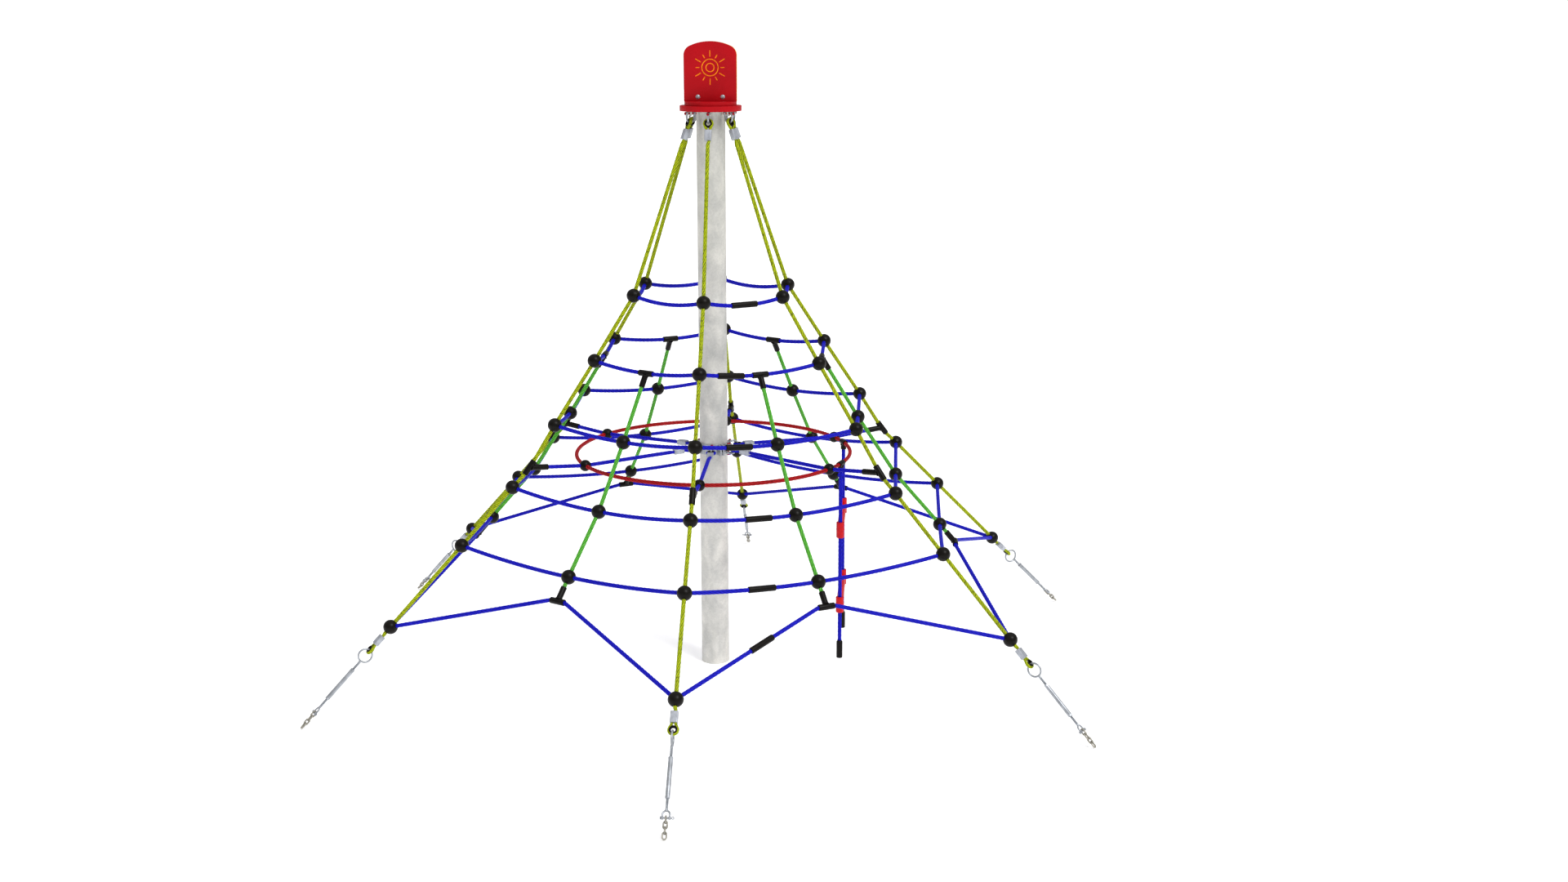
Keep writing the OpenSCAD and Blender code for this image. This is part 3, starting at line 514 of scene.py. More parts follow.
def zinc(name, dark, light, patch, roughness, metallic=1.0):
    """Hot-dip zinc on steel: soft cloudy patches over small crystal spangle."""
    material, tree, shader = new_material(name)
    place = add_node(tree, "ShaderNodeTexCoord").outputs["Object"]
    drawn = add_node(tree, "ShaderNodeMapping", {"Vector": place}, values={"Scale": (1.0, 1.0, 0.7)})
    cloud = noise(tree, drawn.outputs[0], 1 / patch, 3.0, Roughness=0.5, Distortion=0.4)
    spangle = add_node(tree, "ShaderNodeTexVoronoi", {"Vector": place}, values={"Scale": 1 / (6 * MM)})
    flake = add_node(tree, "ShaderNodeSeparateColor", {0: spangle.outputs["Color"]})
    between = [(a + b) / 2 for a, b in zip(dark, light)]
    shade = ramp(tree, cloud, [(0.30, dark), (0.50, between), (0.68, light)])
    tint = ramp(tree, flake.outputs[0], [(0.0, grey(0.90)), (1.0, grey(1))])
    gloss = spread(tree, cloud, roughness + 0.12, roughness - 0.08)
    shader.inputs["Metallic"].default_value = metallic
    finish_shader(tree, shader, multiplied(tree, shade, tint), cloud, 0.15, 0.5 * MM, gloss)
    return material


def sheet_plastic(name, base, shaded):
    """Polyethylene sheet: matt, with a faint orange peel from the calender."""
    material, tree, shader = new_material(name)
    place = add_node(tree, "ShaderNodeTexCoord").outputs["Object"]
    shade = ramp(tree, noise(tree, place, 9.0, 3.0), [(0.3, shaded), (0.7, base)])
    peel = noise(tree, place, 420.0, 2.0)
    shader.inputs["Specular IOR Level"].default_value = 0.15
    finish_shader(tree, shader, shade, peel, 0.25, 0.2 * MM, spread(tree, peel, 0.48, 0.62))
    return material


main_yarn = strand_rope(
    "polyamide_lime_flecked", linear("#B4C400"), linear("#7C8A00"), linear("#CEDE20"), linear("#10120A"))
infill_yarn = strand_rope("polyamide_green", linear("#54B832"), linear("#348A1E"), linear("#88DC60"))
blue_yarn = strand_rope("polyamide_blue", linear("#0404C8"), linear("#02028C"), linear("#2020E4"))
red_yarn = strand_rope("polyamide_red", linear("#B4000C"), linear("#740006"), linear("#D41818"))
black_plastic = moulded_plastic("polyamide_black_moulded", linear("#080502"), 0.38, 0.14)
rung_plastic = moulded_plastic("polyethylene_red_moulded", linear("#BC0010"), 0.45)
red_sheet = sheet_plastic("polyethylene_sheet_red", linear("#B40010"), linear("#A4000E"))
core_sheet = sheet_plastic("polyethylene_core_yellow", linear("#FFB01C"), linear("#FAA414"))
mast_zinc = zinc("hot_dip_zinc_mast", linear("#BCBCB8"), linear("#DEDCD5"), 0.07, 0.46, 0.45)
bright_zinc = zinc("bright_zinc_plate", linear("#969A9F"), linear("#B6BAC0"), 0.02, 0.40, 0.6)
chain_zinc = zinc("dull_zinc_chain", linear("#8B887E"), linear("#B7B3A8"), 0.012, 0.48, 0.6)
pressed_aluminium = zinc("pressed_aluminium", linear("#A4A8B0"), linear("#BEC2CA"), 0.02, 0.45, 0.6)
red_paint = moulded_plastic("enamel_red_pin", linear("#9A0010"), 0.35)

# ---- Making pieces ----


def finish_piece(name, mesh, material, body, replaced, sharp=40, bend=None):
    """Puts a mesh in the scene as a piece of a body.

    With bend given, the piece is not attached to the body and its transform is baked instead; the two points
    in bend are not used.
    """
    mesh.name = name
    for m in material if isinstance(material, (list, tuple)) else [material]:
        if m.name not in mesh.materials:
            mesh.materials.append(m)
    mesh.polygons.foreach_set("use_smooth", [True] * len(mesh.polygons))
    mesh.set_sharp_from_angle(angle=math.radians(sharp))
    piece = bpy.data.objects.new(name, mesh)
    bpy.context.scene.collection.objects.link(piece)
    if bend:
        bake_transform(piece)
    else:
        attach(piece, body)
    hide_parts(replaced)
    return piece


def add_part(total, part, place=Matrix.Identity(4)):
    """Adds a bmesh to another at a place, and frees it."""
    mesh = bpy.data.meshes.new("part")
    part.to_mesh(mesh)
    part.free()
    mesh.transform(place)
    total.from_mesh(mesh)
    bpy.data.meshes.remove(mesh)


def to_mesh(bm):
    mesh = bpy.data.meshes.new("piece")
    bm.to_mesh(mesh)
    bm.free()
    return mesh


def frame_at(origin, z_axis, x_axis):
    z = z_axis.normalized()
    x = (x_axis - x_axis.dot(z) * z).normalized()
    rotation = Matrix((x, z.cross(x), z)).transposed()
    return Matrix.Translation(origin) @ rotation.to_4x4()


def any_square(v):
    return v.cross(Vector((0, 0, 1))) if abs(v.normalized().z) < 0.9 else v.cross(Vector((1, 0, 0)))


def net_piece(name, bm, material, replaced, sharp=40):
    return finish_piece(name, to_mesh(bm), material, "net", replaced, sharp)


def lathed(profile, steps=32):
    """Spins a profile of (radius, height) points round Z into a closed form."""
    bm = bmesh.new()
    verts = [bm.verts.new((r, 0, z)) for r, z in profile]
    edges = [bm.edges.new(pair) for pair in zip(verts, verts[1:])]
    if profile[0] != profile[-1] and (profile[0][0] > 0 or profile[-1][0] > 0):
        edges.append(bm.edges.new((verts[-1], verts[0])))
    bmesh.ops.spin(bm, geom=verts + edges, cent=(0, 0, 0), axis=(0, 0, 1), angle=2 * math.pi,
                   steps=steps, use_merge=True)
    bmesh.ops.remove_doubles(bm, verts=bm.verts, dist=0.01 * MM)
    bmesh.ops.dissolve_degenerate(bm, edges=bm.edges, dist=0.001 * MM)
    bmesh.ops.recalc_face_normals(bm, faces=bm.faces)
    return bm


def arc(centre, radius, start, end, steps):
    """Points of an arc in a profile, angles in degrees from the radius axis."""
    angles = [math.radians(start + (end - start) * i / steps) for i in range(steps + 1)]
    return [(centre[0] + radius * math.cos(a), centre[1] + radius * math.sin(a)) for a in angles]


def tube_profile(length, outer, inner, fillet, steps=4):
    """A sleeve from z 0 to length with rounded outer edges and slightly eased inner ones."""
    ease = min(1.2 * MM, fillet / 2)
    return (
        [(inner, ease), (inner + ease, 0)]
        + arc((outer - fillet, fillet), fillet, -90, 0, steps)
        + arc((outer - fillet, length - fillet), fillet, 0, 90, steps)
        + [(inner + ease, length), (inner, length - ease)]
    )


def swept(points, radius, closed=False, radii=None, tilts=None, profile=None):
    """A mesh tube along points: round, or with a profile curve that tilts along it."""
    curve = bpy.data.curves.new("route", "CURVE")
    curve.dimensions = "3D"
    curve.use_fill_caps = True
    if profile:
        curve.bevel_mode = "OBJECT"
        curve.bevel_object = profile
    else:
        curve.bevel_depth = radius
        curve.bevel_resolution = WIRE_RESOLUTION
    spline = curve.splines.new("POLY")
    spline.points.add(len(points) - 1)
    spline.use_cyclic_u = closed
    spline.points.foreach_set("co", [c for p in points for c in (*p, 1.0)])
    if radii:
        spline.points.foreach_set("radius", radii)
    if tilts:
        spline.points.foreach_set("tilt", tilts)
    holder = bpy.data.objects.new("route", curve)
    bpy.context.scene.collection.objects.link(holder)
    graph = bpy.context.evaluated_depsgraph_get()
    mesh = bpy.data.meshes.new_from_object(holder.evaluated_get(graph))
    bpy.data.objects.remove(holder)
    bpy.data.curves.remove(curve)
    return mesh


def wire(total, points, radius, place=Matrix.Identity(4), closed=False):
    mesh = swept(points, radius, closed)
    mesh.transform(place)
    total.from_mesh(mesh)
    bpy.data.meshes.remove(mesh)


# ---- Ropes ----

GROOVE = 0.17
PROFILE_POINTS = 24


def rope_profile():
    """The rope's section: six crowned strands with a groove between each pair."""
    curve = bpy.data.curves.new("rope_section", "CURVE")
    curve.dimensions = "2D"
    spline = curve.splines.new("POLY")
    spline.points.add(PROFILE_POINTS - 1)
    spline.use_cyclic_u = True
    for i in range(PROFILE_POINTS):
        a = 2 * math.pi * i / PROFILE_POINTS
        off = abs((i * STRANDS / PROFILE_POINTS) % 1 - 0.5) * 2
        r = ROPE_R * (1 - GROOVE * off**2)
        spline.points[i].co = (r * math.cos(a), r * math.sin(a), 0, 1)
    section = bpy.data.objects.new("rope_section", curve)
    bpy.context.scene.collection.objects.link(section)
    return section


def dense(route, step):
    """Puts a point every step along a route and eases its corners."""
    points = []
    for (a, ra), (b, rb) in zip(route, route[1:]):
        count = max(1, round((b - a).length / step))
        points += [(a.lerp(b, i / count), ra + (rb - ra) * i / count) for i in range(count)]
    points.append(route[-1])
    for _ in range(SMOOTHING_ROUNDS):
        inner = [
            (0.25 * a[0] + 0.5 * b[0] + 0.25 * c[0], 0.25 * a[1] + 0.5 * b[1] + 0.25 * c[1])
            for a, b, c in zip(points, points[1:], points[2:])
        ]
        points = [points[0]] + inner + [points[-1]]
    return points


def rope_mesh(route, step, section):
    points = dense(route, step)
    lengths = [0.0]
    for (a, _), (b, _) in zip(points, points[1:]):
        lengths.append(lengths[-1] + (b - a).length)
    tilts = [2 * math.pi * s / ROPE_LAY for s in lengths]
    radii = [r / ROPE_R for _, r in points]
    mesh = swept([p for p, _ in points], 0, radii=radii, tilts=tilts, profile=section)
    layer = mesh.uv_layers[0]
    layer.name = "rope"
    values = [0.0] * (2 * len(layer.data))
    layer.data.foreach_get("uv", values)
    values[0::2] = [u * lengths[-1] for u in values[0::2]]
    layer.data.foreach_set("uv", values)
    return mesh


def rope_piece(name, routes, material, body, replaced, bend=None):
    section = rope_profile()
    total = bmesh.new()
    for route in routes:
        mesh = rope_mesh(route, ROPE_STEP, section)
        total.from_mesh(mesh)
        bpy.data.meshes.remove(mesh)
    bpy.data.objects.remove(section)
    return finish_piece(name, to_mesh(total), material, body, replaced, 75, bend)


azimuths = [j * TURN for j in range(SIDES)]


def make_ropes():
    for name, route, yarn, node in (
        ("lime_main_ropes", main_route(), main_yarn, "main_ropes"),
        ("green_infill_ropes", infill_route(), infill_yarn, "infill_ropes"),
        ("blue_spoke_ropes", spoke_route(), blue_yarn, "spoke_ropes"),
    ):
        rope_piece(name, [turned(route, a) for a in azimuths], yarn, "net", node)
    for k in range(5):
        rope_piece(f"blue_ring_rope_{k + 1}", [ring_route(k)], blue_yarn, "net", f"ring_rope_{k + 1}")
    rope_piece("blue_hem_rope", [hem_route()], blue_yarn, "net", "hem_rope")
    rope_piece("red_hoop_rope", [hoop_route()], red_yarn, "net", "hoop_rope")


make_ropes()

# ---- Moulded connectors ----


def ball_form(diameter):
    """A ball in two moulded halves, with a fine parting line round its middle."""
    r = diameter / 2
    half = arc((0, 0), r, 90, 3, 14)
    line = [(r + 0.25 * MM, 0.6 * MM), (r + 0.25 * MM, -0.6 * MM)]
    lower = [(x, -z) for x, z in half[::-1]]
    profile = [(0, r)] + half[1:] + line + lower[:-1] + [(0, -r)]
    return lathed(profile, 44)


def make_balls():
    total = bmesh.new()
    for a in azimuths:
        for k in range(6):
            add_part(total, ball_form(BALL_D), frame_at(ball(k, a), spun(main_normal(k), a), across(a)))
    net_piece("ball_connectors_main", total, black_plastic, "main_balls")
    total = bmesh.new()
    for a in azimuths:
        for k in (2, 3, 4):
            centre = spun(infill_stop(k), a)
            add_part(total, ball_form(BALL_D), frame_at(centre, spun(infill_normal(k), a), across(a + HALF)))
    net_piece("ball_connectors_infill", total, black_plastic, "infill_balls")
    total = bmesh.new()
    for a in azimuths:
        add_part(total, ball_form(HOOP_BALL_D), frame_at(spun(hoop_ball, a), Vector((0, 0, 1)), across(a)))
    net_piece("ball_connectors_hoop", total, black_plastic, "hoop_balls")


def stem_form(length):
    """The stem of a tee, from its bar's axis: a filleted root and a lipped mouth."""
    root = [(STEM_R + 2.6 * MM, 8.5 * MM)] + arc((STEM_R + 4 * MM, 14.5 * MM), 4 * MM, 235, 180, 5)
    mouth = arc((STEM_R - 2.5 * MM, length - 2.5 * MM), 2.5 * MM, 0, 90, 4)
    inner = [(ROPE_R + 0.2 * MM, length), (ROPE_R + 0.2 * MM, 8.5 * MM)]
    return lathed(root + mouth + inner, 32)


def add_tee(total, a, b, stem, length):
    middle = a.lerp(b, 0.5)
    bar = lathed(tube_profile((b - a).length, SLEEVE_R, ROPE_R + 0.2 * MM, 2.5 * MM), 32)
    add_part(total, bar, frame_at(a, b - a, any_square(b - a)))
    add_part(total, stem_form(length), frame_at(middle, stem, any_square(stem)))


def make_tees():
    bar = TEE_BAR / 2
    total = bmesh.new()
    for a in azimuths:
        margin = bar / (ball(1, TURN) - ball(1, 0)).length
        ends = [ring_at(1, a, 0.5 + e * margin) for e in (-1, 1)]
        add_tee(total, *ends, spun(infill_in, a), INFILL_STEM)
    net_piece("tees_infill_top", total, black_plastic, "infill_tees")
    total = bmesh.new()
    for a in azimuths:
        middle = at(a + HALF, *HEM_TEE)
        half_bar = bar * across(a + HALF)
        add_tee(total, middle - half_bar, middle + half_bar, -spun(infill_out, a), HEM_STEM)
    net_piece("tees_hem", total, black_plastic, "hem_tees")
    total = bmesh.new()
    for a in azimuths:
        ends = [spun(spoke_tee + e * bar * main_slope, a) for e in (-1, 1)]
        add_tee(total, *ends, spun(stem_dir, a), SPOKE_STEM)
    net_piece("tees_spoke", total, black_plastic, "spoke_tees")


def add_sleeve(total, a, b):
    length = (b - a).length
    form = lathed(tube_profile(length, SLEEVE_R, ROPE_R + 0.2 * MM, 3.6 * MM, 6), 32)
    add_part(total, form, frame_at(a, b - a, any_square(b - a)))


def make_splices():
    total = bmesh.new()
    for k in range(5):
        low, high = ring_splice(k)
        a, b = ring_at(k, 0, low), ring_at(k, 0, high)
        add_sleeve(total, a + MM * (b - a).normalized(), b - MM * (b - a).normalized())
    reach = SPLICE_L / 2 * hem_line.normalized()
    add_sleeve(total, hem_join - reach, hem_join + reach)
    net_piece("splice_sleeves_moulded", total, black_plastic, "splice_sleeves")


make_balls()
make_tees()
make_splices()

# ---- Thimbles, ferrules and shackles ----

THIMBLE_R = 15 * MM
THIMBLE_HALF = 7.5 * MM
GROOVE_LIP = 84
FERRULE_W = 27 * MM
FERRULE_T = 20 * MM


def thimble_form():
    """A grooved plastic eye whose hole flares at both faces."""
    flare = 13.7 * MM
    reach = math.degrees(math.asin(THIMBLE_HALF / flare))
    hole = arc((EYE_HOLE + flare, 0), flare, 180 + reach, 180 - reach, 8)
    groove_r = LOOP_ROPE_R + 0.4 * MM
    groove = arc((LOOP_R, 0), groove_r, 180 - GROOVE_LIP, 180 + GROOVE_LIP, 12)
    upper = [(THIMBLE_R - 0.5 * MM, THIMBLE_HALF), (THIMBLE_R, THIMBLE_HALF - 0.5 * MM)]
    lower = [(THIMBLE_R, -THIMBLE_HALF + 0.5 * MM), (THIMBLE_R - 0.5 * MM, -THIMBLE_HALF)]
    profile = hole + upper + groove + lower
    return lathed(profile + [profile[0]], 36)


def ferrule_form():
    """An aluminium ferrule pressed flat on both sides, its edges rounded by the die."""
    bm = bmesh.new()
    bmesh.ops.create_cube(bm, size=1.0)
    bmesh.ops.scale(bm, vec=(FERRULE_W, FERRULE_T, FERRULE_L), verts=bm.verts)
    long_edges = [e for e in bm.edges if abs((e.verts[0].co - e.verts[1].co).z) > FERRULE_L / 2]
    bmesh.ops.bevel(bm, geom=long_edges, offset=3 * MM, segments=4, profile=0.5, affect="EDGES", material=-1)
    rim = [e for e in bm.edges if all(abs(abs(v.co.z) - FERRULE_L / 2) < 0.01 * MM for v in e.verts)]
    bmesh.ops.bevel(bm, geom=rim, offset=0.9 * MM, segments=2, profile=0.5, affect="EDGES", material=-1)
    bmesh.ops.translate(bm, vec=(0, 0, FERRULE_START + FERRULE_L / 2), verts=bm.verts)
    return bm


def eye_places():
    """The frame of every rope eye: X across its loop, Z away along the rope."""
    for a in azimuths:
        for centre, away in ((head_eye, head_dir), (foot_eye, -foot_dir), (spoke_eye, spoke_dir)):
            yield frame_at(spun(centre, a), spun(away, a), across(a))


def make_eyes():
    total = bmesh.new()
    lay_down = Matrix.Rotation(math.radians(90), 4, "X")
    for place in eye_places():
        add_part(total, thimble_form(), place @ lay_down)
    net_piece("rope_thimbles_moulded", total, black_plastic, "rope_thimbles")
    total = bmesh.new()
    for place in eye_places():
        add_part(total, ferrule_form(), place)
    net_piece("rope_ferrules_pressed", total, pressed_aluminium, "rope_ferrules", 50)


def radial(azimuth):
    """+X outwards, +Y along the tangent, +Z up."""
    return Matrix.Rotation(math.radians(azimuth - 90), 4, "Z")


def shackle_station(azimuth, at_head):
    """The frame of a shackle: X along its pin, its bow towards -Z."""
    lift = (HEAD_LUG[0], 0, HEAD_LUG[1]) if at_head else (COLLAR_LUG_R, 0, COLLAR_Z)
    turn = Matrix.Identity(4) if at_head else Matrix.Rotation(math.radians(-90), 4, "Y")
    return radial(azimuth) @ Matrix.Translation(lift) @ turn


EAR_R = 7 * MM
EAR_HALF = 4.5 * MM
PIN_R = 4 * MM
PIN_HEAD = 4 * MM


def add_disc(total, place, x_from, x_to, radius, fillet=0.6 * MM, steps=24):
    """A short round along X with eased edges."""
    length = x_to - x_from
    profile = [(0, 0)] + arc((radius - fillet, fillet), fillet, -90, 0, 3)
    profile += arc((radius - fillet, length - fillet), fillet, 0, 90, 3) + [(0, length)]
    turn = Matrix.Translation((x_from, 0, 0)) @ Matrix.Rotation(math.radians(90), 4, "Y")
    add_part(total, lathed(profile, steps), place @ turn)


def make_shackles():
    bend = [Vector((BOW_R * math.cos(a), 0, -BOW_DROP - BOW_R * math.sin(a)))
            for a in [math.pi * i / 18 for i in range(19)]]
    path = [Vector((BOW_R, 0, -3 * MM))] + bend + [Vector((-BOW_R, 0, -3 * MM))]
    bows = bmesh.new()
    pins = bmesh.new()
    for place in [shackle_station(a, at_head) for a in azimuths for at_head in (True, False)]:
        wire(bows, path, BOW_WIRE, place)
        for side in (-1, 1):
            add_disc(bows, place, side * BOW_R - EAR_HALF, side * BOW_R + EAR_HALF, EAR_R)
        span = BOW_R + EAR_HALF
        add_disc(pins, place, -span - PIN_HEAD, span + PIN_HEAD, PIN_R)
        add_disc(pins, place, span, span + PIN_HEAD, 5.5 * MM, 1.2 * MM)
        add_disc(pins, place, -span - PIN_HEAD, -span, 5.5 * MM, 1.2 * MM)
    net_piece("shackle_bows_forged", bows, bright_zinc, "shackle_bows")
    net_piece("shackle_pins_red", pins, red_paint, "shackle_pins")


make_eyes()
make_shackles()

# ---- Mast and crown ----

MAST_R = 57.15 * MM
MAST_TOP = 2.284
MAST_RINGS = (0.6, 1.2, 1.8)
CAP_T = 21 * MM
STEP_T = 15.5 * MM
CAP_TOP = MAST_TOP + CAP_T
STEP_TOP = CAP_TOP + STEP_T
PANEL_T = 19 * MM
PANEL_W = 208 * MM
PANEL_H = 231 * MM
PANEL_SIDE = PANEL_H - 54 * MM
SHOULDER = 40 * MM
SKIN = 1.4 * MM
SUN_Z = 130 * MM
BOLT_X = 49 * MM
BOLT_Z = 17 * MM
BOLT_HEAD = 9 * MM


def make_mast():
    wall = 4 * MM
    profile = [(0, 0)] + arc((MAST_R - MM, MM), MM, -90, 0, 3)
    profile += [(MAST_R, z) for z in MAST_RINGS] + [(MAST_R, MAST_TOP), (MAST_R - wall, MAST_TOP)]
    profile += [(MAST_R - wall, 8 * MM), (0, 8 * MM)]
    net_piece("mast_tube_galvanised", lathed(profile, 96), mast_zinc, "mast")


def disc_form(radius, low, high, fillet, recess=None):
    """A flat disc with softly rounded edges, and a recess in its underside if given (radius, depth)."""
    profile = [(0, low + recess[1]), (recess[0], low + recess[1]), (recess[0], low)] if recess else [(0, low)]
    profile += arc((radius - fillet, low + fillet), fillet, -90, 0, 4)
    profile += arc((radius - fillet, high - fillet), fillet, 0, 90, 4) + [(0, high)]
    return lathed(profile, 128)


def make_discs():
    cap = disc_form(122 * MM, MAST_TOP, CAP_TOP, 1.0 * MM, (103.3 * MM, 8 * MM))
    net_piece("cap_disc_red", cap, red_sheet, "cap_disc")
    step = disc_form(103 * MM, CAP_TOP, STEP_TOP, 1.0 * MM)
    net_piece("cap_step_disc_red", step, red_sheet, "cap_step_disc")


def panel_outline():
    inset = PANEL_W / 2 - SHOULDER
    rise = PANEL_H - PANEL_SIDE
    crown = (rise**2 + inset**2 - SHOULDER**2) / (2 * (rise - SHOULDER))
    sweep = math.degrees(math.asin(inset / (crown - SHOULDER)))
    right = arc((0, PANEL_H - crown), crown, 90, 90 - sweep, 16)
    right += arc((inset, PANEL_SIDE), SHOULDER, 90 - sweep, 0, 12)[1:] + [(PANEL_W / 2, 0)]
    return right + [(-x, z) for x, z in right[:0:-1]]


def groove_cutters():
    """The engraved lines of a plain sun, as solids that are cut from both faces."""
    cutters = bmesh.new()
    width = 3.6 * MM
    depth = 3 * MM
    for face in (-1, 1):
        low, high = sorted((face * (PANEL_T / 2 - depth), face * (PANEL_T / 2 + 4 * MM)))
        centre = Matrix.Translation((0, 0, STEP_TOP + SUN_Z)) @ Matrix.Rotation(math.radians(90), 4, "X")
        for r in (16 * MM, 32 * MM):
            near, far = r - width / 2, r + width / 2
            ring = [(near, -high), (far, -high), (far, -low), (near, -low)]
            add_part(cutters, lathed(ring + [ring[0]], 64), centre)
        for i in range(12):
            length = (26 if i % 2 == 0 else 16) * MM
            ray = bmesh.new()
            bmesh.ops.create_cube(ray, size=1.0)
            bmesh.ops.scale(ray, vec=(width, length, high - low), verts=ray.verts)
            ends = [e for e in ray.edges if abs((e.verts[0].co - e.verts[1].co).z) > (high - low) / 2]
            bmesh.ops.bevel(ray, geom=ends, offset=1.7 * MM, segments=4, profile=0.5,
                            affect="EDGES", material=-1)
            bmesh.ops.translate(ray, vec=(0, 41 * MM + length / 2, -(low + high) / 2), verts=ray.verts)
            add_part(cutters, ray, centre @ Matrix.Rotation(math.radians(30 * i), 4, "Z"))
    return cutters


def make_panel():
    bm = bmesh.new()
    outline = [bm.verts.new((x, -PANEL_T / 2, STEP_TOP + z)) for x, z in panel_outline()]
    face = bm.faces.new(outline)
    extruded = bmesh.ops.extrude_face_region(bm, geom=[face])
    moved = [v for v in extruded["geom"] if isinstance(v, bmesh.types.BMVert)]
    bmesh.ops.translate(bm, vec=(0, PANEL_T, 0), verts=moved)
    bmesh.ops.recalc_face_normals(bm, faces=bm.faces)
    flat = [f for f in bm.faces if abs(f.normal.y) > 0.9]
    rims = list({e for f in flat for e in f.edges})
    bmesh.ops.bevel(bm, geom=rims, offset=1.2 * MM, segments=3, profile=0.5, affect="EDGES", material=-1)
    for y in (-PANEL_T / 2 + SKIN, PANEL_T / 2 - SKIN):
        whole = list(bm.verts) + list(bm.edges) + list(bm.faces)
        bmesh.ops.bisect_plane(bm, geom=whole, plane_co=(0, y, 0), plane_no=(0, 1, 0))
    panel = bpy.data.objects.new("panel_blank", to_mesh(bm))
    cutter = bpy.data.objects.new("sun_cutter", to_mesh(groove_cutters()))
    for piece in (panel, cutter):
        bpy.context.scene.collection.objects.link(piece)
    cut = panel.modifiers.new("engraving", "BOOLEAN")
    cut.operation = "DIFFERENCE"
    cut.solver = "EXACT"
    cut.object = cutter
    graph = bpy.context.evaluated_depsgraph_get()
    mesh = bpy.data.meshes.new_from_object(panel.evaluated_get(graph))
    for piece in (panel, cutter):
        bpy.data.objects.remove(piece)
    mesh.materials.clear()
    for material in (red_sheet, core_sheet):
        mesh.materials.append(material)
    for polygon in mesh.polygons:
        polygon.material_index = 1 if abs(polygon.center.y) < PANEL_T / 2 - SKIN + 0.1 * MM else 0
    finish_piece("crown_panel_engraved", mesh, [red_sheet, core_sheet], "net", "crown_panel", sharp=30)


def make_crown_bolts():
    total = bmesh.new()
    for x in (-BOLT_X, BOLT_X):
        head = [(0, 4.4 * MM)] + arc((0, -6.2 * MM), 10.9 * MM, 80, 35, 6) + [(BOLT_HEAD, 0), (0, 0)]
        place = frame_at(Vector((x, -PANEL_T / 2, STEP_TOP + BOLT_Z)), Vector((0, -1, 0)), Vector((1, 0, 0)))
        add_part(total, lathed(head, 32), place)
        shank = [(0, 0)] + [(4 * MM, 0), (4 * MM, 33 * MM), (3.3 * MM, 34 * MM), (0, 34 * MM)]
        back = frame_at(Vector((x, -PANEL_T / 2, STEP_TOP + BOLT_Z)), Vector((0, 1, 0)), Vector((1, 0, 0)))
        add_part(total, lathed(shank, 20), back)
        add_nut(total, back @ Matrix.Translation((0, 0, PANEL_T + 4 * MM)), 7.5 * MM, 6.5 * MM)
    net_piece("crown_bolts_domed", total, bright_zinc, "crown_bolts")


def add_nut(total, place, radius, height, bore=0.0):
    """A hexagon nut with its corners chamfered."""
    ease = 0.7 * MM
    low = [(bore, 0), (radius - 1.2 * MM, 0), (radius, ease)]
    high = [(radius, height - ease), (radius - 1.2 * MM, height), (bore, height)]
    add_part(total, lathed(low + high, 6), place)


make_mast()
make_discs()
make_panel()
make_crown_bolts()

# ---- Ladder ----

LADDER_BEND = 30 * MM
RUNG_Z = (0.633, 0.318)
RUNG_HALF = 32.5 * MM
RUNG_R = 16 * MM
RUNG_BAR = 14 * MM
CAP_BOTTOM = 90 * MM
END_CAP_L = 76 * MM


def make_ladder_tees():
    total = bmesh.new()
    for side in (-1, 1):
        azimuth = 90 + side * LADDER_TURN
        p = hoop_at(azimuth)
        reach = LADDER_TEE / 2 * across(azimuth)
        bar = lathed(tube_profile(LADDER_TEE, SLEEVE_R, ROPE_R + 0.5 * MM, 2.5 * MM), 32)
        add_part(total, bar, frame_at(p - reach, reach, Vector((0, 0, 1))))
        add_part(total, stem_form(30 * MM), frame_at(p, Vector((0, 0, -1)), across(azimuth)))
    net_piece("tees_ladder", total, black_plastic, "ladder_tees")


def make_rungs():
    """Moulded rungs: a collar on each rope and a ribbed bar between them."""
    total = bmesh.new()
    for z in RUNG_Z:
        for side in (-1, 1):
            profile = tube_profile(2 * RUNG_HALF, RUNG_R, ROPE_R + 0.1 * MM, 2.2 * MM)
            foot = Matrix.Translation((LADDER_X, side * LADDER_HALF, z - RUNG_HALF))
            add_part(total, lathed(profile, 40), foot)
        reach = LADDER_HALF - RUNG_R + 6 * MM
        flare = 3 * MM
        profile = [(0, -reach), (RUNG_BAR + flare, -reach), (RUNG_BAR + 1.2 * MM, -reach + 8 * MM)]
        profile.append((RUNG_BAR, -reach + 14 * MM))
        ribs = 14
        step = 2 * (reach - 20 * MM) / ribs
        for i in range(ribs + 1):
            y = -reach + 20 * MM + step * i
            profile += [(RUNG_BAR - 0.7 * MM, y - 1.5 * MM), (RUNG_BAR, y)]
            if i < ribs:
                profile.append((RUNG_BAR, y + step - 3 * MM))
        profile += [(RUNG_BAR, reach - 14 * MM), (RUNG_BAR + 1.2 * MM, reach - 8 * MM)]
        profile += [(RUNG_BAR + flare, reach), (0, reach)]
        bar_place = frame_at(Vector((LADDER_X, 0, z)), Vector((0, 1, 0)), Vector((1, 0, 0)))
        add_part(total, lathed(profile, 32), bar_place)
    finish_piece("ladder_rungs_moulded", to_mesh(total), rung_plastic, "ladder", "ladder_rungs")


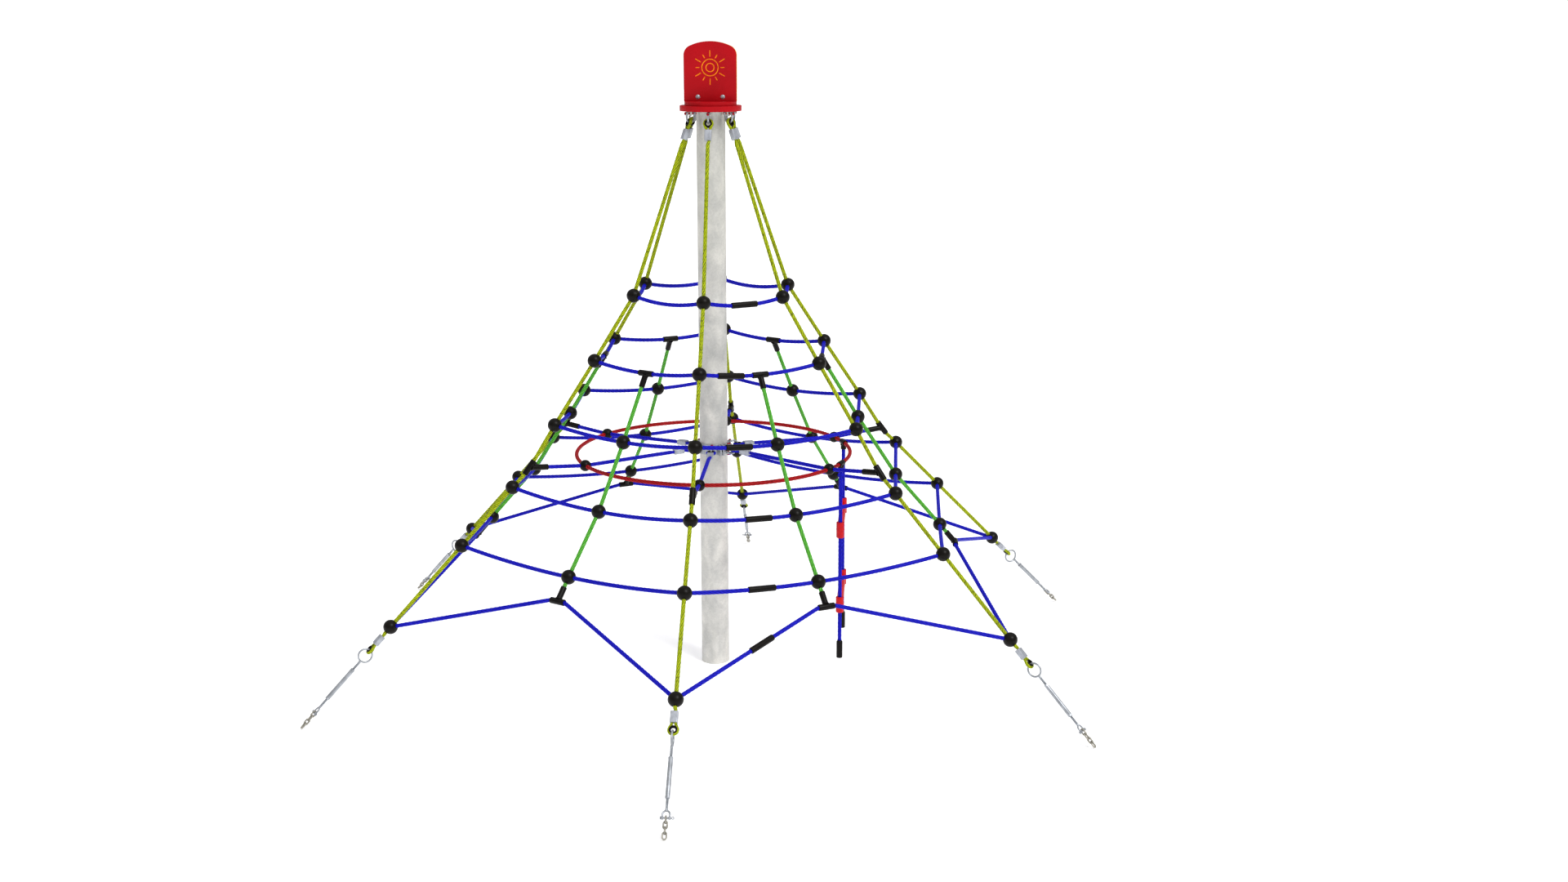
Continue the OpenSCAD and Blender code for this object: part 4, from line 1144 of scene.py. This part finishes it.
def make_end_cap(side, name):
    """A closed cap moulded on the end of a ladder rope, with a domed shoulder."""
    r = SLEEVE_R + 0.5 * MM
    profile = [(0, 0)] + arc((r - 2.5 * MM, 2.5 * MM), 2.5 * MM, -90, 0, 4)
    profile += [(r, END_CAP_L - 9 * MM)] + arc((r - 6 * MM, END_CAP_L - 9 * MM), 6 * MM, 0, 60, 4)
    profile += [(ROPE_R + 0.6 * MM, END_CAP_L), (ROPE_R + 0.1 * MM, END_CAP_L - MM)]
    profile += [(ROPE_R + 0.1 * MM, LADDER_END - CAP_BOTTOM), (0, LADDER_END - CAP_BOTTOM)]
    cap = lathed(profile, 36)
    bmesh.ops.translate(cap, vec=(LADDER_X, side * LADDER_HALF, CAP_BOTTOM), verts=cap.verts)
    return finish_piece(f"ladder_end_cap_{name}", to_mesh(cap), black_plastic, "ladder", "ladder_end_caps")


def make_ladder():
    make_ladder_tees()
    make_rungs()
    for side, name in ((-1, "left"), (1, "right")):
        route = ladder_route(side)
        cap = make_end_cap(side, name)
        lift = Vector((0, 0, LADDER_BEND))
        bend = route[0][0] + lift, route[0][0] - lift
        rope = rope_piece(f"blue_ladder_rope_{name}", [route], blue_yarn, "ladder",
                          f"ladder_rope_{name}", bend)


make_ladder()

# ---- Anchor lines ----

SLEEVE_AT = 212 * MM
TURNBUCKLE_L = 148 * MM
TURNBUCKLE_R = 8.2 * MM
ROD_R = 5 * MM
THREAD_PITCH = 1.5 * MM
THREAD_IN = 50 * MM
NUT_R = 9.3 * MM
NUT_L = 9 * MM
CROWN_AT = 403 * MM
PIN_AT = 428 * MM
FORK_R = 12.7 * MM
FORK_WIRE = 3.3 * MM
FORK_PIN_R = 3.2 * MM
FORK_PIN_L = 17.5 * MM
LINK_L = 31 * MM
LINK_W = 19 * MM
CHAIN_WIRE = 6 * MM
LINKS = 4


def line_place(azimuth):
    """+X along the anchor line from the lowest ball, +Y along the tangent."""
    lift = Matrix.Translation((BALL_R[5], 0, BALL_Z[5]))
    return radial(azimuth) @ lift @ Matrix.Rotation(DIP, 4, "Y")


def along_x(x):
    return Matrix.Translation((x, 0, 0)) @ Matrix.Rotation(math.radians(90), 4, "Y")


def rod_form(length, plain_start, plain_end):
    """A rod with a rolled thread between its plain ends."""
    profile = [(0, 0), (ROD_R, 0), (ROD_R, plain_start)]
    turns = int((length - plain_start - plain_end) / THREAD_PITCH)
    for i in range(turns):
        z = plain_start + THREAD_PITCH * i
        profile += [(ROD_R - 0.7 * MM, z + 0.4 * THREAD_PITCH), (ROD_R, z + 0.9 * THREAD_PITCH)]
    return lathed(profile + [(ROD_R, length - 0.2 * MM), (0, length)], 16)


def anchor_piece(name, bm, material, node, i, sharp=40):
    finish_piece(f"{name}_{i}", to_mesh(bm), material, f"{node}_{i}", f"{node}_{i}", sharp)


def make_eye(place, i):
    total = bmesh.new()
    ring = [Vector((EYE_AT + RING_R * math.cos(a), 0, RING_R * math.sin(a)))
            for a in [2 * math.pi * n / 48 for n in range(48)]]
    wire(total, ring, RING_WIRE, place, closed=True)
    start = EYE_AT + RING_R
    add_part(total, rod_form(SLEEVE_AT + THREAD_IN - start, 12 * MM, 2 * MM), place @ along_x(start))
    anchor_piece("anchor_ring_eye", total, bright_zinc, "anchor_eye", i)


def make_sleeve(place, i):
    total = bmesh.new()
    bore = ROD_R + 0.05 * MM
    body = tube_profile(TURNBUCKLE_L - 2 * MM, TURNBUCKLE_R, bore, 1.2 * MM)
    add_part(total, lathed(body, 32), place @ along_x(SLEEVE_AT + MM))
    for x in (SLEEVE_AT, SLEEVE_AT + TURNBUCKLE_L - NUT_L):
        add_nut(total, place @ along_x(x), NUT_R, NUT_L, bore)
    anchor_piece("anchor_turnbuckle", total, bright_zinc, "anchor_sleeve", i, 30)


def make_fork(place, i):
    total = bmesh.new()
    start = SLEEVE_AT + TURNBUCKLE_L - THREAD_IN
    add_part(total, rod_form(CROWN_AT + 2 * MM - start, 2 * MM, 8 * MM), place @ along_x(start))
    centre = CROWN_AT + FORK_R
    bend = [Vector((centre - FORK_R * math.sin(a), FORK_R * math.cos(a), 0))
            for a in [math.pi * n / 16 for n in range(17)]]
    legs = [Vector((PIN_AT - 2 * MM, side * FORK_R, 0)) for side in (1, -1)]
    wire(total, [legs[0]] + bend + [legs[1]], FORK_WIRE, place)
    flat = place @ Matrix.Translation((PIN_AT, 0, 0)) @ Matrix.Rotation(math.radians(90), 4, "Z")
    for side in (-1, 1):
        add_disc(total, flat, side * FORK_R - 3.9 * MM, side * FORK_R + 3.9 * MM, 6 * MM)
    add_disc(total, flat, -FORK_PIN_L, FORK_PIN_L, FORK_PIN_R)
    add_disc(total, flat, -FORK_PIN_L - 3 * MM, -FORK_PIN_L, 5.5 * MM)
    tab = [Vector((FORK_PIN_L + 5.5 * MM + 3.9 * MM * math.cos(a), 3.9 * MM * math.sin(a), 0))
           for a in [2 * math.pi * n / 20 for n in range(20)]]
    wire(total, tab, 1.6 * MM, flat, closed=True)
    anchor_piece("anchor_fork_pin", total, bright_zinc, "anchor_fork", i)


def make_chain(place, i):
    total = bmesh.new()
    bend = LINK_W / 2 - CHAIN_WIRE / 2
    straight = LINK_L - LINK_W
    path = []
    for end in (1, -1):
        path += [Vector((end * (straight / 2 + bend * math.cos(a)), end * bend * math.sin(a), 0))
                 for a in [-math.pi / 2 + math.pi * n / 10 for n in range(11)]]
    pitch = LINK_L - 2 * CHAIN_WIRE - 0.3 * MM
    first = PIN_AT - FORK_PIN_R - 0.2 * MM - CHAIN_WIRE + LINK_L / 2
    for n in range(LINKS):
        turn = Matrix.Rotation(math.radians(90 if n % 2 == 0 else 0), 4, "X")
        link_place = place @ Matrix.Translation((first + n * pitch, 0, 0)) @ turn
        wire(total, path, CHAIN_WIRE / 2, link_place, closed=True)
    anchor_piece("anchor_chain_links", total, chain_zinc, "anchor_chain", i)


for number, a in enumerate(azimuths, 1):
    make_eye(line_place(a), number)
    make_sleeve(line_place(a), number)
    make_fork(line_place(a), number)
    make_chain(line_place(a), number)

# ---- Steel at the head and on the collar ----

FLANGE_R = 103 * MM
FLANGE_T = 8 * MM
LUG_R = 9.5 * MM
LUG_T = 8 * MM
SCREW_Y = 44 * MM
BRACKET_W = 36 * MM
BRACKET_H = 44 * MM
BRACKET_FOOT = 52 * MM
BRACKET_T = 4 * MM
COLLAR_H = 43 * MM
COLLAR_T = 6 * MM
COLLAR_GAP = 6 * MM
COLLAR_EAR = 26 * MM
COLLAR_BOLT_OUT = 13 * MM
COLLAR_BOLT_Z = 10 * MM
HEX_R = 7.5 * MM
NUT_H = 6.5 * MM
HEAD_H = 5.3 * MM


def add_box(total, place, low, high, bevel=0.8 * MM):
    """A box between two corners with rounded edges."""
    bm = bmesh.new()
    bmesh.ops.create_cube(bm, size=1.0)
    size = Vector(high) - Vector(low)
    bmesh.ops.scale(bm, vec=size, verts=bm.verts)
    bmesh.ops.translate(bm, vec=(Vector(low) + Vector(high)) / 2, verts=bm.verts)
    bmesh.ops.bevel(bm, geom=bm.edges, offset=bevel, segments=2, profile=0.5, affect="EDGES", material=-1)
    add_part(total, bm, place)


def add_lug(total, place, root):
    """A plate with a round end for a shackle's pin, reaching up to its root."""
    add_disc(total, place, -LUG_T / 2, LUG_T / 2, LUG_R, 0.8 * MM, 32)
    add_box(total, place, (-LUG_T / 2, -LUG_R, 0), (LUG_T / 2, LUG_R, root))


def make_head_flange():
    total = disc_form(FLANGE_R, MAST_TOP, MAST_TOP + FLANGE_T, 1.0 * MM)
    for a in azimuths:
        add_lug(total, shackle_station(a, True), MAST_TOP + MM - HEAD_LUG[1])
    net_piece("head_flange_galvanised", total, mast_zinc, "head_flange")


def make_brackets():
    """Two angle brackets behind the panel, with the screws that hold them down."""
    angles = bmesh.new()
    screws = bmesh.new()
    for x in (-BOLT_X, BOLT_X):
        place = Matrix.Translation((x, PANEL_T / 2, STEP_TOP))
        add_box(angles, place, (-BRACKET_W / 2, 0, 0), (BRACKET_W / 2, BRACKET_T, BRACKET_H))
        add_box(angles, place, (-BRACKET_W / 2, 0, 0), (BRACKET_W / 2, BRACKET_FOOT, BRACKET_T))
        top = Matrix.Translation((x, SCREW_Y, STEP_TOP + BRACKET_T))
        add_nut(screws, top, HEX_R, HEAD_H)
        down = BRACKET_T + STEP_T + CAP_T
        add_part(screws, lathed([(0, -down), (3.8 * MM, -down), (3.8 * MM, 0), (0, 0)], 16), top)
    net_piece("crown_brackets_folded", angles, bright_zinc, "crown_brackets")
    net_piece("bracket_screws_hexagon", screws, bright_zinc, "bracket_screws", 30)


def collar_half():
    """Half of the collar's band, from gap to gap, round Z."""
    inner = MAST_R + 0.05 * MM
    outer = MAST_R + COLLAR_T
    low, high = COLLAR_Z - COLLAR_H / 2, COLLAR_Z + COLLAR_H / 2
    ease = MM
    section = [(inner, low), (outer - ease, low), (outer, low + ease), (outer, high - ease)]
    section += [(outer - ease, high), (inner, high)]
    gap = math.asin((COLLAR_GAP / 2) / inner)
    bm = bmesh.new()
    start = Matrix.Rotation(gap, 3, "Z")
    verts = [bm.verts.new(start @ Vector((r, 0, z))) for r, z in section]
    edges = [bm.edges.new(pair) for pair in zip(verts, verts[1:] + verts[:1])]
    swept_round = bmesh.ops.spin(bm, geom=verts + edges, cent=(0, 0, 0), axis=(0, 0, 1),
                                 angle=math.pi - 2 * gap, steps=48)
    bm.faces.new(verts)
    bm.faces.new([v for v in swept_round["geom_last"] if isinstance(v, bmesh.types.BMVert)])
    bmesh.ops.recalc_face_normals(bm, faces=bm.faces)
    return bm


def make_collar():
    total = bmesh.new()
    bolts = bmesh.new()
    turn = Matrix.Rotation(math.radians(HALF), 4, "Z")
    outer = MAST_R + COLLAR_T
    low, high = COLLAR_Z - COLLAR_H / 2, COLLAR_Z + COLLAR_H / 2
    for quarter in (90, 270):
        add_part(total, collar_half(), turn @ Matrix.Rotation(math.radians(quarter), 4, "Z"))
    for side in (-1, 1):
        near, far = sorted((side * (outer - 3 * MM), side * (outer + COLLAR_EAR - 3 * MM)))
        for inner in (COLLAR_GAP / 2, -COLLAR_GAP / 2 - COLLAR_T):
            add_box(total, turn, (inner, near, low), (inner + COLLAR_T, far, high), MM)
        for z in (-COLLAR_BOLT_Z, COLLAR_BOLT_Z):
            y = side * (outer + COLLAR_BOLT_OUT)
            place = turn @ Matrix.Translation((0, y, COLLAR_Z + z))
            grip = COLLAR_GAP / 2 + COLLAR_T
            add_disc(bolts, place, -grip, grip + 10 * MM, 4 * MM)
            lie = Matrix.Rotation(math.radians(90), 4, "Y")
            add_nut(bolts, place @ Matrix.Translation((-grip - HEAD_H, 0, 0)) @ lie, HEX_R, HEAD_H)
            add_nut(bolts, place @ Matrix.Translation((grip, 0, 0)) @ lie, HEX_R, NUT_H)
    for a in azimuths:
        add_lug(total, shackle_station(a, False), COLLAR_LUG_R - outer + MM)
    net_piece("mast_collar_split", total, bright_zinc, "mast_collar")
    net_piece("collar_bolts_hexagon", bolts, bright_zinc, "collar_bolts", 30)


make_head_flange()
make_brackets()
make_collar()

# ---- Floor and light ----


def add_floor():
    bm = bmesh.new()
    bmesh.ops.create_grid(bm, x_segments=1, y_segments=1, size=60.0)
    mesh = to_mesh(bm)
    material, _, shader = new_material("floor_pale")
    shader.inputs["Base Color"].default_value = linear("#FFFFFF")
    shader.inputs["Roughness"].default_value = 0.95
    shader.inputs["Specular IOR Level"].default_value = 0.1
    shader.inputs["Emission Color"].default_value = (1, 1, 1, 1)
    shader.inputs["Emission Strength"].default_value = 0.3
    mesh.materials.append(material)
    floor = bpy.data.objects.new("floor", mesh)
    bpy.context.scene.collection.objects.link(floor)


def add_light():
    """A white backdrop, with a softer studio round it that lights the object and shows in its metal."""
    world = bpy.data.worlds.new("studio")
    world.use_nodes = True
    tree = world.node_tree
    backdrop = tree.nodes["Background"]
    place = add_node(tree, "ShaderNodeTexCoord")
    parts = add_node(tree, "ShaderNodeSeparateXYZ", {0: place.outputs["Generated"]})
    height = add_node(tree, "ShaderNodeMapRange", {0: parts.outputs[2]}, values={1: -0.2, 2: 1.0})
    levels = [(0.0, grey(0.22)), (0.3, (0.34, 0.34, 0.35, 1)), (1.0, grey(0.9))]
    room = ramp(tree, height.outputs[0], levels)
    seen = add_node(tree, "ShaderNodeLightPath")
    shade = add_node(tree, "ShaderNodeMix", {0: seen.outputs["Is Camera Ray"], 6: room},
                     data_type="RGBA", values={7: grey(1.05)})
    tree.links.new(shade.outputs[2], backdrop.inputs["Color"])
    bpy.context.scene.world = world
    sun = bpy.data.lights.new("soft_key", "SUN")
    sun.energy = 1.7
    sun.angle = math.radians(20)
    key = bpy.data.objects.new("soft_key", sun)
    key.rotation_euler = (math.radians(28), math.radians(32), 0)
    bpy.context.scene.collection.objects.link(key)
    bpy.context.scene.view_settings.view_transform = "Standard"


add_floor()
add_light()
